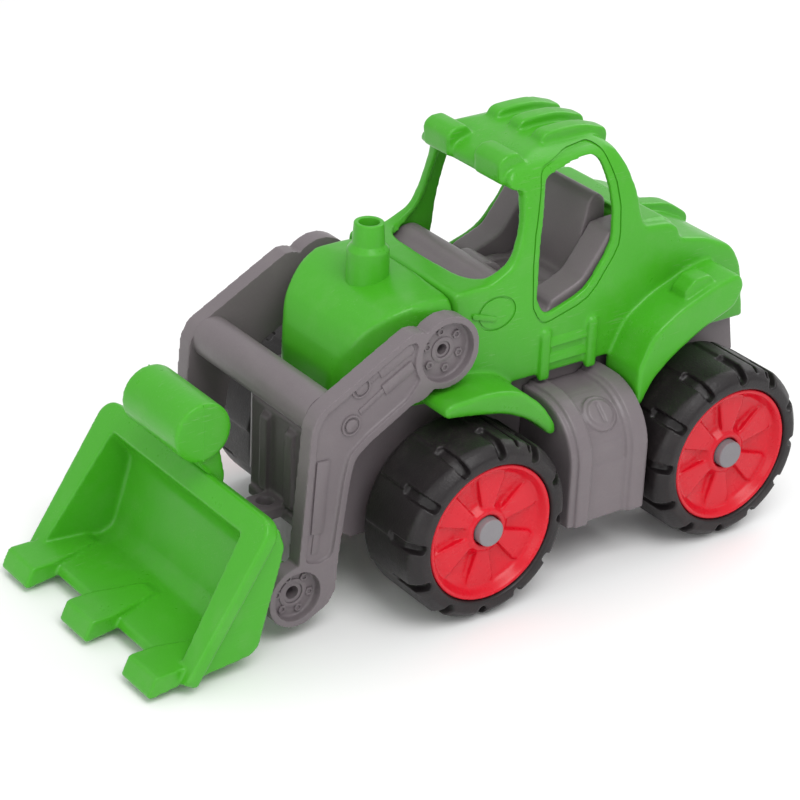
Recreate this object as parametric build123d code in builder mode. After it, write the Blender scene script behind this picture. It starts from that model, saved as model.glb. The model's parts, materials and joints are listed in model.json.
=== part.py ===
from build123d import *

import os

# ---------------------------------------------------------------------------
# Toy wheel loader.  Millimetres, +X forward, +Y left, +Z up, ground at Z = 0.
# Profiles are drawn in side view as (distance ahead of the front axle, height)
# and in front view as (distance left of the middle plane, height).
# ---------------------------------------------------------------------------

# Overall layout
AXLE_X = 9.0  # front axle ahead of the middle of the whole toy
WHEELBASE = 131.5
AXLE_Z = 41.0
PLAY = 0.06  # radial running clearance of shafts in their bores

# Wheels
TYRE_R = 41.0
TYRE_IN = 38.8
TYRE_OUT = 79.5
TYRE_BORE_R = 30.0
TYRE_WALL = 3.2
LUGS = 12
LUG_SLOT_W = 4.6
LUG_SLOT_R = 34.2
RIM_LIP_R = 31.0
RIM_FACE = 78.4
RIM_DISH = 71.5
HUB_R = 11.0
HUB_FACE = 76.0
CAP_R = 7.3
CAP_OUT = 79.2
CAP_SEAT = 72.0
SPOKES = 6
SPOKE_OUTLINE = [(10.5, -3.2), (27.0, -7.0), (27.0, 7.0), (10.5, 3.2)]
AXLE_R = 3.0
AXLE_END = 77.0

# Chassis
CHASSIS_HALF = 34.0
CHASSIS_TOP = 84.0
CHASSIS_WALL = 2.6
BOSS_R = 8.0
BOSS_OUT = 38.4

# Loader arms
LIFT = (6.0, 113.8)
TILT = (77.0, 20.5)
ARM_OUT = 50.5
ARM_THICK = 8.0
ARM_IN = ARM_OUT - ARM_THICK
LIFT_HUB_R = 16.0
TILT_HUB_R = 14.0
HUB_LIP = 3.0
HUB_DEPTH = 4.5
LIFT_HOLE_R = 3.7
TILT_HOLE_R = 4.7
LIFT_SHAFT_R = 5.5
BAR = (61.2, 96.4)
BAR_R = 9.3

# Bucket
MOUTH_TOP = (105.4, 59.5)
MOUTH_DOWN = (0.544, -0.839)
MOUTH_LENGTH = 59.8
FLANGE_HALF = 65.5
FLANGE_TOP = 11.0
FLANGE_THICK = 6.5
BOWL_HALF_FRONT = 56.0
BOWL_HALF_BACK = 49.5
BOWL_WALL = 2.4
BACK_HALF = 61.5
TOOTH_W = 21.4
TOOTH_Y = (-49.8, 0.0, 49.8)
GRIP = (104.7, 90.5)
GRIP_R = 13.1
GRIP_HALF = 21.4
NECK_HALF = 16.5
EAR_IN = 36.0
EAR_OUT = 42.0

# Body panels
SHELL = 2.8
HOOD_REAR = -5.0
CAB_HALF = 40.0
FENDER_OUT = 61.0
TANK_OUT = 72.5
TANK_REAR = -89.0
TANK_FRONT = -47.0
TANK_TOP = 80.4
TANK_BOTTOM = 25.0
TANK_R = 27.0
STRAP_W = 10.0
STRAP_RISE = 2.0


def side(y):
    """Plane at y; local x is ahead of the front axle, local y is height, normal points right (-Y)."""
    return Plane(origin=(AXLE_X, y, 0), x_dir=(1, 0, 0), z_dir=(0, -1, 0))


def level(z):
    """Horizontal plane at height z; local x is ahead of the front axle, local y is to the left."""
    return Plane(origin=(AXLE_X, 0, z), x_dir=(1, 0, 0), z_dir=(0, 0, 1))


def cross(x):
    """Plane across the toy; local x is to the left, local y is height, normal points forward."""
    return Plane(origin=(AXLE_X + x, 0, 0), x_dir=(0, 1, 0), z_dir=(1, 0, 0))


def radial(x):
    """Plane through an axle; local x is to the left, local y is the radius."""
    return Plane(origin=(AXLE_X + x, 0, AXLE_Z), x_dir=(0, 1, 0), z_dir=(1, 0, 0))


def face_on(x, y):
    """Plane of a wheel's side at y, centred on the axle."""
    return Plane(origin=(AXLE_X + x, y, AXLE_Z), x_dir=(1, 0, 0), z_dir=(0, -1, 0))


def save(builder, name):
    """Label a finished piece and write it."""
    builder.part.label = name
    export_step(builder.part, f"parts/{name}.step")


def mirrored(points):
    """Close a right-hand half outline (from bottom to top) with its reflection."""
    return points + [(-across, up) for across, up in reversed(points)]


os.makedirs("parts", exist_ok=True)

AXLES = {"front": 0.0, "rear": -WHEELBASE}
HANDS = {"left": 1, "right": -1}

# ---------------------------------------------------------------------------
# Wheels and axles
# ---------------------------------------------------------------------------


def make_tyre(x, hand):
    """Hollow tyre with bevelled shoulders and slots that divide the lugs."""
    outline = [
        (TYRE_IN, TYRE_BORE_R),
        (TYRE_IN, 36.5),
        (TYRE_IN + 5.5, TYRE_R - 0.3),
        (71.0, TYRE_R),
        (76.5, 39.6),
        (TYRE_OUT, 36.8),
        (TYRE_OUT, RIM_LIP_R + 0.8),
        (TYRE_OUT - 0.8, RIM_LIP_R + 0.1),
        (RIM_FACE - 2.4, RIM_LIP_R + 0.1),
        (RIM_FACE - 2.4, TYRE_BORE_R),
        (RIM_FACE - 2.4 - TYRE_WALL, TYRE_BORE_R),
        (71.0, TYRE_R - 2 * TYRE_WALL),
        (TYRE_IN + 6.0, TYRE_R - 2 * TYRE_WALL),
        (TYRE_IN + TYRE_WALL, TYRE_BORE_R),
    ]
    axis = Axis((AXLE_X + x, 0, AXLE_Z), (0, 1, 0))
    with BuildPart() as tyre:
        with BuildSketch(radial(x)):
            with BuildLine():
                Polyline(*[(hand * y, r) for y, r in outline], close=True)
            make_face()
        revolve(axis=axis)
        with BuildSketch(face_on(x, hand * (TYRE_OUT + 1))):
            with PolarLocations(LUG_SLOT_R + 8, LUGS, start_angle=5):
                SlotOverall(16, LUG_SLOT_W)
        extrude(amount=hand * 9.0, mode=Mode.SUBTRACT)
        with BuildSketch(face_on(x, hand * (TYRE_OUT - 7))):
            with PolarLocations(TYRE_R + 1.2, LUGS, start_angle=5):
                Rectangle(4.0, 2.4)
        extrude(amount=hand * 28.0, mode=Mode.SUBTRACT)
    return tyre


def make_rim(x, hand):
    """One-piece rim: barrel, dished face with wedge spokes, hub tube and recess for the cap."""
    outline = [
        (TYRE_IN, AXLE_R + PLAY),
        (TYRE_IN, HUB_R - 2),
        (RIM_DISH - 3.0, HUB_R - 1),
        (RIM_DISH - 3.0, TYRE_BORE_R - 2.4),
        (TYRE_IN + 0.4, TYRE_BORE_R - 2.4),
        (TYRE_IN + 0.4, TYRE_BORE_R),
        (RIM_FACE - 2.4, TYRE_BORE_R),
        (RIM_FACE - 2.4, RIM_LIP_R),
        (RIM_FACE, RIM_LIP_R - 0.4),
        (RIM_FACE, RIM_LIP_R - 1.8),
        (RIM_FACE - 1.2, RIM_LIP_R - 2.8),
        (RIM_DISH, RIM_LIP_R - 5.0),
        (RIM_DISH, HUB_R + 1),
        (HUB_FACE, HUB_R),
        (HUB_FACE, CAP_R + 0.7),
        (CAP_SEAT, CAP_R + 0.7),
        (CAP_SEAT, AXLE_R + PLAY),
    ]
    with BuildPart() as rim:
        with BuildSketch(radial(x)):
            with BuildLine():
                Polyline(*[(hand * y, r) for y, r in outline], close=True)
            make_face()
        revolve(axis=Axis((AXLE_X + x, 0, AXLE_Z), (0, 1, 0)))
        with BuildSketch(face_on(x, hand * RIM_DISH)):
            with PolarLocations(0, SPOKES, start_angle=15):
                Polygon(*SPOKE_OUTLINE, align=None)
        extrude(amount=-hand * 3.0)
    return rim


def make_hub_cap(x, hand):
    """Round cap pressed on the axle's end; it keeps the wheel on."""
    with BuildPart() as cap:
        with BuildSketch(face_on(x, hand * (CAP_SEAT + 0.4))):
            Circle(CAP_R)
        extrude(amount=-hand * (CAP_OUT - CAP_SEAT - 0.4))
        chamfer(cap.edges().group_by(Axis.Y)[-1 if hand > 0 else 0], length=0.6)
        with BuildSketch(face_on(x, hand * (CAP_SEAT + 0.4))):
            Circle(AXLE_R)
        extrude(amount=-hand * (AXLE_END - CAP_SEAT - 0.4), mode=Mode.SUBTRACT)
    return cap


for end, axle_x in AXLES.items():
    for hand_name, hand in HANDS.items():
        save(make_tyre(axle_x, hand), f"tyre_{end}_{hand_name}")
        save(make_rim(axle_x, hand), f"rim_{end}_{hand_name}")
        save(make_hub_cap(axle_x, hand), f"hub_cap_{end}_{hand_name}")
    with BuildPart() as axle:
        with BuildSketch(face_on(axle_x, AXLE_END)):
            Circle(AXLE_R)
        extrude(amount=2 * AXLE_END)
    save(axle, f"{end}_axle")

# ---------------------------------------------------------------------------
# Chassis: an open-topped tub that carries both axles
# ---------------------------------------------------------------------------

CHASSIS_OUTLINE = [
    (-165.0, CHASSIS_TOP),
    (-168.0, 66.0),
    (-158.0, 40.0),
    (-146.0, 30.0),
    (40.0, 30.0),
    (49.0, 36.0),
    (49.0, 76.0),
    (38.0, CHASSIS_TOP),
]
SCREW_SPOTS = [(-150.0, 20.0), (-150.0, -20.0), (-66.0, 24.0), (-66.0, -24.0), (34.0, 18.0), (34.0, -18.0)]
SCREW_HEAD_R = 3.0
SCREW_HEAD_T = 1.6
SCREW_SHANK_R = 1.4
SCREW_LENGTH = 12.0
SCREW_BOSS_R = 4.5

with BuildPart() as chassis:
    with BuildSketch(side(CHASSIS_HALF)):
        with BuildLine():
            Polyline(*CHASSIS_OUTLINE, close=True)
        make_face()
    extrude(amount=2 * CHASSIS_HALF)
    fillet(chassis.edges().filter_by(Axis.Z), radius=6.0)
    with BuildSketch(side(CHASSIS_HALF - CHASSIS_WALL)):
        with BuildLine():
            Polyline(*CHASSIS_OUTLINE, close=True)
        make_face()
        offset(amount=-CHASSIS_WALL)
        with BuildLine():
            Polyline((-161.5, 78.0), (40.0, 78.0), (40.0, 90.0), (-161.5, 90.0), close=True)
        make_face()
    extrude(amount=2 * (CHASSIS_HALF - CHASSIS_WALL), mode=Mode.SUBTRACT)
    with BuildSketch(level(30.0)):
        with Locations(*SCREW_SPOTS):
            Circle(SCREW_BOSS_R)
    extrude(amount=SCREW_LENGTH + 4.0)
    for axle_x in AXLES.values():
        with BuildSketch(face_on(axle_x, BOSS_OUT)):
            Circle(BOSS_R)
        extrude(amount=2 * BOSS_OUT)
        with BuildSketch(face_on(axle_x, BOSS_OUT)):
            Circle(AXLE_R + PLAY)
        extrude(amount=2 * BOSS_OUT, mode=Mode.SUBTRACT)
    with BuildSketch(level(30.0)):
        with Locations(*SCREW_SPOTS):
            Circle(SCREW_HEAD_R + 0.3)
    extrude(amount=SCREW_HEAD_T, mode=Mode.SUBTRACT)
    with BuildSketch(level(30.0)):
        with Locations(*SCREW_SPOTS):
            Circle(SCREW_SHANK_R)
    extrude(amount=SCREW_HEAD_T + SCREW_LENGTH, mode=Mode.SUBTRACT)
save(chassis, "chassis")

with BuildPart() as chassis_screws:
    with BuildSketch(level(30.0)):
        with Locations(*SCREW_SPOTS):
            Circle(SCREW_HEAD_R)
    extrude(amount=SCREW_HEAD_T)
    with BuildSketch(level(30.0 + SCREW_HEAD_T)):
        with Locations(*SCREW_SPOTS):
            Circle(SCREW_SHANK_R)
    extrude(amount=SCREW_LENGTH)
save(chassis_screws, "chassis_screws")

# Front plate with two upright ribs, a foot lip and a towing eye
PLATE_REAR = 49.0
PLATE_FRONT = 53.5
PLATE_HALF = 23.0
PLATE_LOW = 29.0
PLATE_HIGH = 76.0
RIB_Y = 9.5
EYE_X = 60.5
EYE_Z = 31.0
EYE_R = 7.5
EYE_HOLE_R = 4.0
EYE_T = 6.0

with BuildPart() as front_plate:
    with BuildSketch(cross(PLATE_REAR)):
        with Locations((0, (PLATE_LOW + PLATE_HIGH) / 2)):
            RectangleRounded(2 * PLATE_HALF, PLATE_HIGH - PLATE_LOW, 3.0)
    extrude(amount=PLATE_FRONT - PLATE_REAR)
    with BuildSketch(cross(PLATE_FRONT)):
        with Locations((RIB_Y, 55.0), (-RIB_Y, 55.0)):
            Rectangle(6.0, 36.0)
    extrude(amount=2.6, taper=12)
    with BuildSketch(cross(PLATE_FRONT)):
        with Locations((0, PLATE_LOW + 2.5)):
            Rectangle(2 * PLATE_HALF - 4, 5.0)
    extrude(amount=2.5)
    with BuildSketch(level(EYE_Z)):
        with Locations((EYE_X, 0)):
            Circle(EYE_R)
        with Locations((EYE_X - 4.5, 0)):
            Rectangle(9.0, 2 * EYE_R)
        with Locations((EYE_X, 0)):
            Circle(EYE_HOLE_R, mode=Mode.SUBTRACT)
    extrude(amount=EYE_T)
save(front_plate, "front_plate")

# ---------------------------------------------------------------------------
# Side tanks: arched boxes with two raised straps and a round filler cap
# ---------------------------------------------------------------------------


def tank_outline(inset):
    """Front-view outline of a tank, set in from its straps."""
    top = TANK_TOP - inset
    out = TANK_OUT - inset
    return [(CHASSIS_HALF, TANK_BOTTOM), (out, TANK_BOTTOM), (out, top), (CHASSIS_HALF, top)]


def make_tank(hand):
    """One tank: panel between two straps, open at the back against the chassis."""
    length = TANK_FRONT - TANK_REAR
    bands = [
        (TANK_REAR, STRAP_W, 0.0),
        (TANK_REAR + STRAP_W, length - 2 * STRAP_W, STRAP_RISE),
        (TANK_FRONT - STRAP_W, STRAP_W, 0.0),
    ]
    cap_angle = 48.0
    with BuildPart() as tank:
        for start, width, inset in bands:
            with BuildSketch(cross(start)) as section:
                with BuildLine():
                    Polyline(*[(hand * y, z) for y, z in tank_outline(inset)], close=True)
                make_face()
                corner = section.vertices().sort_by(Axis.Y)[-2:].sort_by(Axis.X)[-1 if hand > 0 else 0]
                fillet(corner, radius=TANK_R)
            extrude(amount=width)
        with BuildSketch(cross(TANK_REAR + SHELL)) as cavity:
            with BuildLine():
                Polyline(*[(hand * y, z) for y, z in tank_outline(STRAP_RISE + SHELL)], close=True)
            make_face()
            corner = cavity.vertices().sort_by(Axis.Y)[-2:].sort_by(Axis.X)[-1 if hand > 0 else 0]
            fillet(corner, radius=TANK_R - STRAP_RISE - SHELL)
        extrude(amount=length - 2 * SHELL, mode=Mode.SUBTRACT)
        cap_y = hand * (TANK_OUT - TANK_R)
        cap_plane = Plane(
            origin=(AXLE_X + (TANK_FRONT + TANK_REAR) / 2, cap_y, TANK_TOP - TANK_R),
            x_dir=(1, 0, 0),
            z_dir=(0, hand * 0.669, 0.743),
        )
        with BuildSketch(cap_plane.offset(TANK_R - STRAP_RISE - 2)):
            Circle(7.0)
        extrude(amount=4.0)
    return tank


for hand_name, hand in HANDS.items():
    save(make_tank(hand), f"side_tank_{hand_name}")

# ---------------------------------------------------------------------------
# Hood: tapering nose shell, crowned on top, with the exhaust stack on it
# ---------------------------------------------------------------------------

STACK_X = 11.8
STACK_SEAT = 130.5

STACK_PEG_R = 5.0

HOOD_SIDE = [
    (HOOD_REAR, CHASSIS_TOP),
    (HOOD_REAR, 132.8),
    (9.0, 131.6),
    (20.0, 128.6),
    (29.0, 123.4),
    (35.5, 116.4),
    (40.0, 107.0),
    (42.0, 97.0),
    (42.6, CHASSIS_TOP),
]
HOOD_FRONT_HALF = [
    (38.6, CHASSIS_TOP),
    (38.6, 124.6),
    (36.9, 128.4),
    (32.8, 130.6),
    (18.0, 132.0),
    (6.0, 132.8),
]
HOOD_PLAN_HALF = [
    (39.0, HOOD_REAR),
    (37.2, 9.0),
    (32.8, 23.0),
    (27.0, 34.0),
    (20.0, 41.0),
    (14.0, 43.0),
]


def hood_block(inset):
    """Solid bounded by the hood's side, front and plan outlines, each set in by the same amount."""
    with BuildPart() as block:
        with BuildSketch(side(60.0)):
            with BuildLine():
                Polyline(*HOOD_SIDE, close=True)
            make_face()
            if inset:
                offset(amount=-inset)
                with Locations(((HOOD_REAR + 30.0) / 2, CHASSIS_TOP)):
                    Rectangle(30.0 - HOOD_REAR + 14.0, 8.0)
        extrude(amount=120.0)
        with BuildSketch(cross(HOOD_REAR - 20.0)):
            with BuildLine():
                Polyline(*mirrored(HOOD_FRONT_HALF), close=True)
            make_face()
            if inset:
                offset(amount=-inset)
                with Locations((0, CHASSIS_TOP)):
                    Rectangle(64.0, 8.0)
        extrude(amount=90.0, mode=Mode.INTERSECT)
        with BuildSketch(level(CHASSIS_TOP - 10.0)):
            with BuildLine():
                Polyline(*[(ahead, across) for across, ahead in mirrored(HOOD_PLAN_HALF)], close=True)
            make_face()
            if inset:
                offset(amount=-inset)
        extrude(amount=80.0, mode=Mode.INTERSECT)
    return block.part


hood_outside = hood_block(0)
hood_inside = hood_block(SHELL)
with BuildPart() as hood:
    add(hood_outside)
    add(hood_inside, mode=Mode.SUBTRACT)
    with BuildSketch(side(60.0)):
        with Locations(LIFT):
            Circle(LIFT_SHAFT_R + PLAY)
    extrude(amount=120.0, mode=Mode.SUBTRACT)
    with BuildSketch(level(STACK_SEAT - 8.0)):
        with Locations((STACK_X, 0)):
            Circle(STACK_PEG_R)
    extrude(amount=20.0, mode=Mode.SUBTRACT)
save(hood, "hood")

STACK_OUTLINE = [
    (0.0, STACK_SEAT - 4.0),
    (9.4, STACK_SEAT - 4.0),
    (8.9, 142.0),
    (8.1, 144.0),
    (7.0, 145.0),
    (6.3, 154.6),
    (4.2, 154.6),
    (3.8, 146.0),
    (0.0, 146.0),
]
with BuildPart() as exhaust_stack:
    with BuildSketch(Plane(origin=(AXLE_X + STACK_X, 0, 0), x_dir=(1, 0, 0), z_dir=(0, -1, 0))):
        with BuildLine():
            Polyline(*STACK_OUTLINE, close=True)
        make_face()
    revolve(axis=Axis((AXLE_X + STACK_X, 0, 0), (0, 0, 1)))
    add(hood_outside, mode=Mode.SUBTRACT)
    with BuildSketch(level(STACK_SEAT - 6.0)):
        with Locations((STACK_X, 0)):
            Circle(STACK_PEG_R)
    extrude(amount=9.0)
save(exhaust_stack, "exhaust_stack")

# Cross shaft that carries both arms, through the hood's sides
with BuildPart() as lift_shaft:
    with BuildSketch(side(ARM_IN - 0.4)):
        with Locations(LIFT):
            Circle(LIFT_SHAFT_R)
    extrude(amount=2 * (ARM_IN - 0.4))
    with BuildSketch(side(ARM_OUT - HUB_DEPTH)):
        with Locations(LIFT):
            Circle(LIFT_HOLE_R - PLAY)
    extrude(amount=2 * (ARM_OUT - HUB_DEPTH))
    for hand in HANDS.values():
        with BuildSketch(side(hand * (ARM_OUT - HUB_DEPTH))):
            with Locations(LIFT):
                Circle(2.4)
        extrude(amount=hand * 10.0, mode=Mode.SUBTRACT)
save(lift_shaft, "lift_shaft")

# ---------------------------------------------------------------------------
# Cab body: cowl, cab with open windows, rear deck and all four fenders
# ---------------------------------------------------------------------------

SKIRT = 81.5
CAB_SIDE = [
    (HOOD_REAR, CHASSIS_TOP),
    (HOOD_REAR, 132.0),
    (-22.0, 132.5),
    (-30.0, 134.5),
    (-36.0, 139.0),
    (-39.5, 146.5),
    (-41.8, 156.0),
    (-42.6, 164.0),
    (-41.0, 168.0),
    (-37.0, 169.5),
    (-35.2, 174.6),
    (-38.0, 178.0),
    (-50.0, 181.2),
    (-66.0, 183.1),
    (-82.0, 182.9),
    (-91.0, 180.2),
    (-96.0, 174.0),
    (-101.0, 163.0),
    (-104.5, 152.0),
    (-107.0, 140.0),
    (-122.0, 138.5),
    (-125.0, 136.0),
    (-126.0, 130.5),
    (-142.0, 127.5),
    (-156.6, 120.3),
    (-162.5, 111.0),
    (-168.0, CHASSIS_TOP),
    (-90.0, CHASSIS_TOP),
    (-88.6, SKIRT),
    (-46.0, SKIRT),
    (-45.0, CHASSIS_TOP),
]
CAB_FRONT_HALF = [
    (CAB_HALF, 70.0),
    (CAB_HALF, 112.0),
    (39.3, 126.0),
    (38.2, 139.0),
    (36.2, 155.0),
    (34.0, 167.0),
    (31.0, 175.0),
    (26.5, 179.6),
    (16.0, 183.2),
]
DOOR_WINDOW = [
    (-53.8, 112.2),
    (-49.2, 116.7),
    (-48.8, 131.6),
    (-51.2, 150.9),
    (-54.3, 169.0),
    (-57.2, 174.0),
    (-66.4, 176.2),
    (-80.1, 178.5),
    (-84.8, 174.0),
    (-87.6, 165.2),
    (-89.3, 154.9),
    (-89.2, 144.0),
    (-87.7, 136.3),
    (-77.9, 121.7),
    (-66.0, 114.3),
]
WINDSHIELD_HALF = [(30.0, 130.5), (32.5, 134.0), (33.0, 142.0), (32.0, 150.0), (29.5, 160.0), (26.5, 168.0)]
REAR_WINDOW_HALF = [(27.0, 144.0), (29.5, 148.0), (28.0, 162.0), (25.0, 172.0), (21.0, 175.5)]
REAR_FENDER = [
    (-89.6, 66.8),
    (-89.6, 82.0),
    (-92.0, 89.0),
    (-97.0, 95.0),
    (-104.0, 100.0),
    (-112.0, 104.0),
    (-122.0, 107.5),
    (-134.0, 110.5),
    (-141.0, 111.5),
    (-144.0, 108.0),
    (-143.5, 102.0),
    (-139.5, 98.0),
    (-125.0, 92.7),
    (-116.0, 88.7),
    (-108.8, 84.4),
    (-103.0, 80.6),
    (-97.4, 75.5),
    (-93.8, 70.5),
    (-92.6, 67.0),
]
FRONT_FENDER = [
    (14.0, 89.5),
    (12.5, 93.3),
    (-8.0, 94.3),
    (-20.0, 93.0),
    (-29.0, 87.5),
    (-37.4, 79.5),
    (-42.5, 71.5),
    (-43.2, 68.0),
    (-41.5, 66.6),
    (-39.0, 67.6),
    (-35.4, 71.4),
    (-28.3, 77.0),
    (-20.3, 81.4),
    (-10.8, 84.6),
    (3.2, 86.4),
    (12.5, 87.4),
]
ROOF_RIB = [
    (-61.0, 176.0),
    (-62.0, 184.2),
    (-64.5, 185.6),
    (-72.0, 186.6),
    (-84.0, 186.0),
    (-96.0, 181.2),
    (-97.5, 172.0),
]
RIB_YS = (-15.5, 0.0, 15.5)
RIB_W = 7.2
ROOF_LAMP = [
    (-42.0, 170.5),
    (-33.8, 171.0),
    (-33.4, 182.0),
    (-36.5, 184.6),
    (-49.5, 185.0),
    (-56.0, 179.0),
]
ROOF_LAMP_YS = (8.8, 27.2)
FENDER_LAMP = [
    (-115.4, 102.0),
    (-116.0, 114.8),
    (-120.8, 119.4),
    (-130.0, 120.0),
    (-136.5, 108.0),
]
FENDER_LAMP_YS = (46.0, 57.2)


def cab_block(inset):
    """Solid bounded by the cab's side and front outlines, each set in by the same amount."""
    with BuildPart() as block:
        with BuildSketch(side(60.0)):
            with BuildLine():
                Polyline(*CAB_SIDE, close=True)
            make_face()
            if inset:
                offset(amount=-inset)
                with BuildLine():
                    Polyline((-8.0, 70.0), (-8.0, 100.0), (-160.0, 100.0), (-160.0, 70.0), close=True)
                make_face()
        extrude(amount=120.0)
        with BuildSketch(cross(-180.0)):
            with BuildLine():
                Polyline(*mirrored(CAB_FRONT_HALF), close=True)
            make_face()
            if inset:
                offset(amount=-inset)
        extrude(amount=200.0, mode=Mode.INTERSECT)
    return block.part


cab_outside = cab_block(0)
cab_inside = cab_block(SHELL)
with BuildPart() as cab_body:
    add(cab_outside)
    for rib_y in RIB_YS:
        with BuildSketch(side(rib_y + RIB_W / 2)):
            with BuildLine():
                Polyline(*ROOF_RIB, close=True)
            make_face()
        extrude(amount=RIB_W)
    for hand in HANDS.values():
        with BuildSketch(side(hand * ROOF_LAMP_YS[1])):
            with BuildLine():
                Polyline(*ROOF_LAMP, close=True)
            make_face()
        extrude(amount=hand * (ROOF_LAMP_YS[1] - ROOF_LAMP_YS[0]))
        with BuildSketch(side(hand * FENDER_OUT)):
            with BuildLine():
                Polyline(*REAR_FENDER, close=True)
            make_face()
            with BuildLine():
                Polyline(*FRONT_FENDER, close=True)
            make_face()
        extrude(amount=hand * (FENDER_OUT - CAB_HALF + 1.0))
        with BuildSketch(side(hand * FENDER_LAMP_YS[1])):
            with BuildLine():
                Polyline(*FENDER_LAMP, close=True)
            make_face()
        extrude(amount=hand * (FENDER_LAMP_YS[1] - FENDER_LAMP_YS[0]))
    add(cab_inside, mode=Mode.SUBTRACT)
    with BuildSketch(side(60.0)):
        with BuildLine():
            Polyline(*DOOR_WINDOW, close=True)
        make_face()
    extrude(amount=120.0, mode=Mode.SUBTRACT)
    with BuildSketch(cross(-60.0)):
        with BuildLine():
            Polyline(*mirrored(WINDSHIELD_HALF), close=True)
        make_face()
    extrude(amount=35.0, mode=Mode.SUBTRACT)
    with BuildSketch(cross(-116.0)):
        with BuildLine():
            Polyline(*mirrored(REAR_WINDOW_HALF), close=True)
        make_face()
    extrude(amount=24.0, mode=Mode.SUBTRACT)
save(cab_body, "cab_body")

# ---------------------------------------------------------------------------
# Cabin: floor tub with side consoles and dash roll, and a separate seat
# ---------------------------------------------------------------------------

TUB_HALF = 36.6
TUB_FLOOR = 98.0
DASH = (-33.5, 123.5)
DASH_R = 8.4
DASH_FOOT = [(-26.0, 108.0), (-26.0, 121.0), (-33.0, 127.0), (-41.0, 121.0), (-41.0, 108.0)]
CONSOLE_OUT = 35.0
CONSOLE_W = 13.5
CONSOLE = [(-60.0, 110.0), (-78.0, 119.0), (-90.0, 134.0), (-103.0, 135.0), (-103.0, 110.0)]


def oblong(rear, front, half):
    """Rectangle in the plan between two distances ahead of the front axle, centred across."""
    with Locations(((rear + front) / 2, 0)):
        Rectangle(front - rear, 2 * half)


with BuildPart() as cabin_tub:
    with BuildSketch(level(CHASSIS_TOP)):
        oblong(-104.0, -26.0, TUB_HALF)
    extrude(amount=112.0 - CHASSIS_TOP)
    with BuildSketch(level(TUB_FLOOR)):
        oblong(-101.0, -38.0, 21.0)
    extrude(amount=40.0, mode=Mode.SUBTRACT)
    with BuildSketch(level(CHASSIS_TOP)):
        oblong(-101.0, -29.0, 33.0)
    extrude(amount=TUB_FLOOR - 3.0 - CHASSIS_TOP, mode=Mode.SUBTRACT)
    for hand in HANDS.values():
        with BuildSketch(side(hand * CONSOLE_OUT)):
            with BuildLine():
                Polyline(*CONSOLE, close=True)
            make_face()
        extrude(amount=hand * CONSOLE_W)
    with BuildSketch(side(31.0)):
        with Locations(DASH):
            Circle(DASH_R)
        with BuildLine():
            Polyline(*DASH_FOOT, close=True)
        make_face()
    extrude(amount=62.0)
    with BuildSketch(side(9.0)):
        with Locations((-44.0, 117.0)):
            Circle(10.0)
    extrude(amount=18.0)
save(cabin_tub, "cabin_tub")

SEAT_HALF = 19.5
with BuildPart() as seat:
    with BuildSketch(side(SEAT_HALF)):
        with BuildLine():
            Polyline(
                (-62.0, TUB_FLOOR),
                (-61.0, 110.0),
                (-65.0, 113.5),
                (-84.0, 111.0),
                (-90.5, 150.0),
                (-94.0, 152.0),
                (-98.0, 149.0),
                (-100.5, TUB_FLOOR),
                close=True,
            )
        make_face()
    extrude(amount=2 * SEAT_HALF)
    with BuildSketch(side(SEAT_HALF - 5.5)):
        with BuildLine():
            Polyline((-58.0, 112.5), (-82.5, 109.5), (-89.0, 153.0), (-58.0, 160.0), close=True)
        make_face()
    extrude(amount=2 * (SEAT_HALF - 5.5), mode=Mode.SUBTRACT)
save(seat, "seat")

# ---------------------------------------------------------------------------
# Loader arms and the bar that joins them
# ---------------------------------------------------------------------------

ARM_OUTLINE = [
    (12.0, 99.0),
    (16.0, 95.6),
    (22.5, 94.6),
    (43.0, 83.0),
    (50.5, 77.0),
    (52.6, 68.0),
    (57.1, 34.5),
    (58.5, 18.3),
    (62.0, 12.5),
    (69.0, 9.0),
    (82.0, 20.0),
    (77.1, 33.0),
    (71.9, 96.5),
    (68.5, 102.9),
    (24.5, 126.6),
    (19.0, 126.4),
    (12.0, 122.0),
]
NUT_R = 2.0
NUT_RISE = 0.7
HUBS = [
    (LIFT, LIFT_HUB_R, LIFT_HOLE_R, 8.6),
    (TILT, TILT_HUB_R, TILT_HOLE_R, 8.1),
]


def make_arm(hand):
    """Cranked flat arm with a recessed hub at each end and a shallow panel between them."""
    outer = side(hand * ARM_OUT)
    with BuildPart() as arm:
        with BuildSketch(outer):
            with BuildLine():
                Polyline(*ARM_OUTLINE, close=True)
            make_face()
            with Locations(LIFT):
                Circle(LIFT_HUB_R)
            with Locations(TILT):
                Circle(TILT_HUB_R)
        extrude(amount=hand * ARM_THICK)
        with BuildSketch(outer):
            with BuildLine():
                Polyline(*ARM_OUTLINE, close=True)
            make_face()
            offset(amount=-3.2, kind=Kind.INTERSECTION)
            with Locations(LIFT):
                Circle(LIFT_HUB_R, mode=Mode.SUBTRACT)
            with Locations(TILT):
                Circle(TILT_HUB_R, mode=Mode.SUBTRACT)
        extrude(amount=hand * 1.8, mode=Mode.SUBTRACT)
        for centre, hub_r, hole_r, nut_ring in HUBS:
            with BuildSketch(outer):
                with Locations(centre):
                    Circle(hub_r - HUB_LIP)
            extrude(amount=hand * HUB_DEPTH, mode=Mode.SUBTRACT)
            with BuildSketch(side(hand * (ARM_OUT - HUB_DEPTH))):
                with Locations(centre):
                    with PolarLocations(nut_ring, 6, start_angle=20):
                        RegularPolygon(NUT_R, 6)
            extrude(amount=-hand * NUT_RISE)
            with BuildSketch(outer):
                with Locations(centre):
                    Circle(hole_r)
            extrude(amount=hand * ARM_THICK, mode=Mode.SUBTRACT)
    return arm


for hand_name, hand in HANDS.items():
    save(make_arm(hand), f"loader_arm_{hand_name}")

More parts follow.
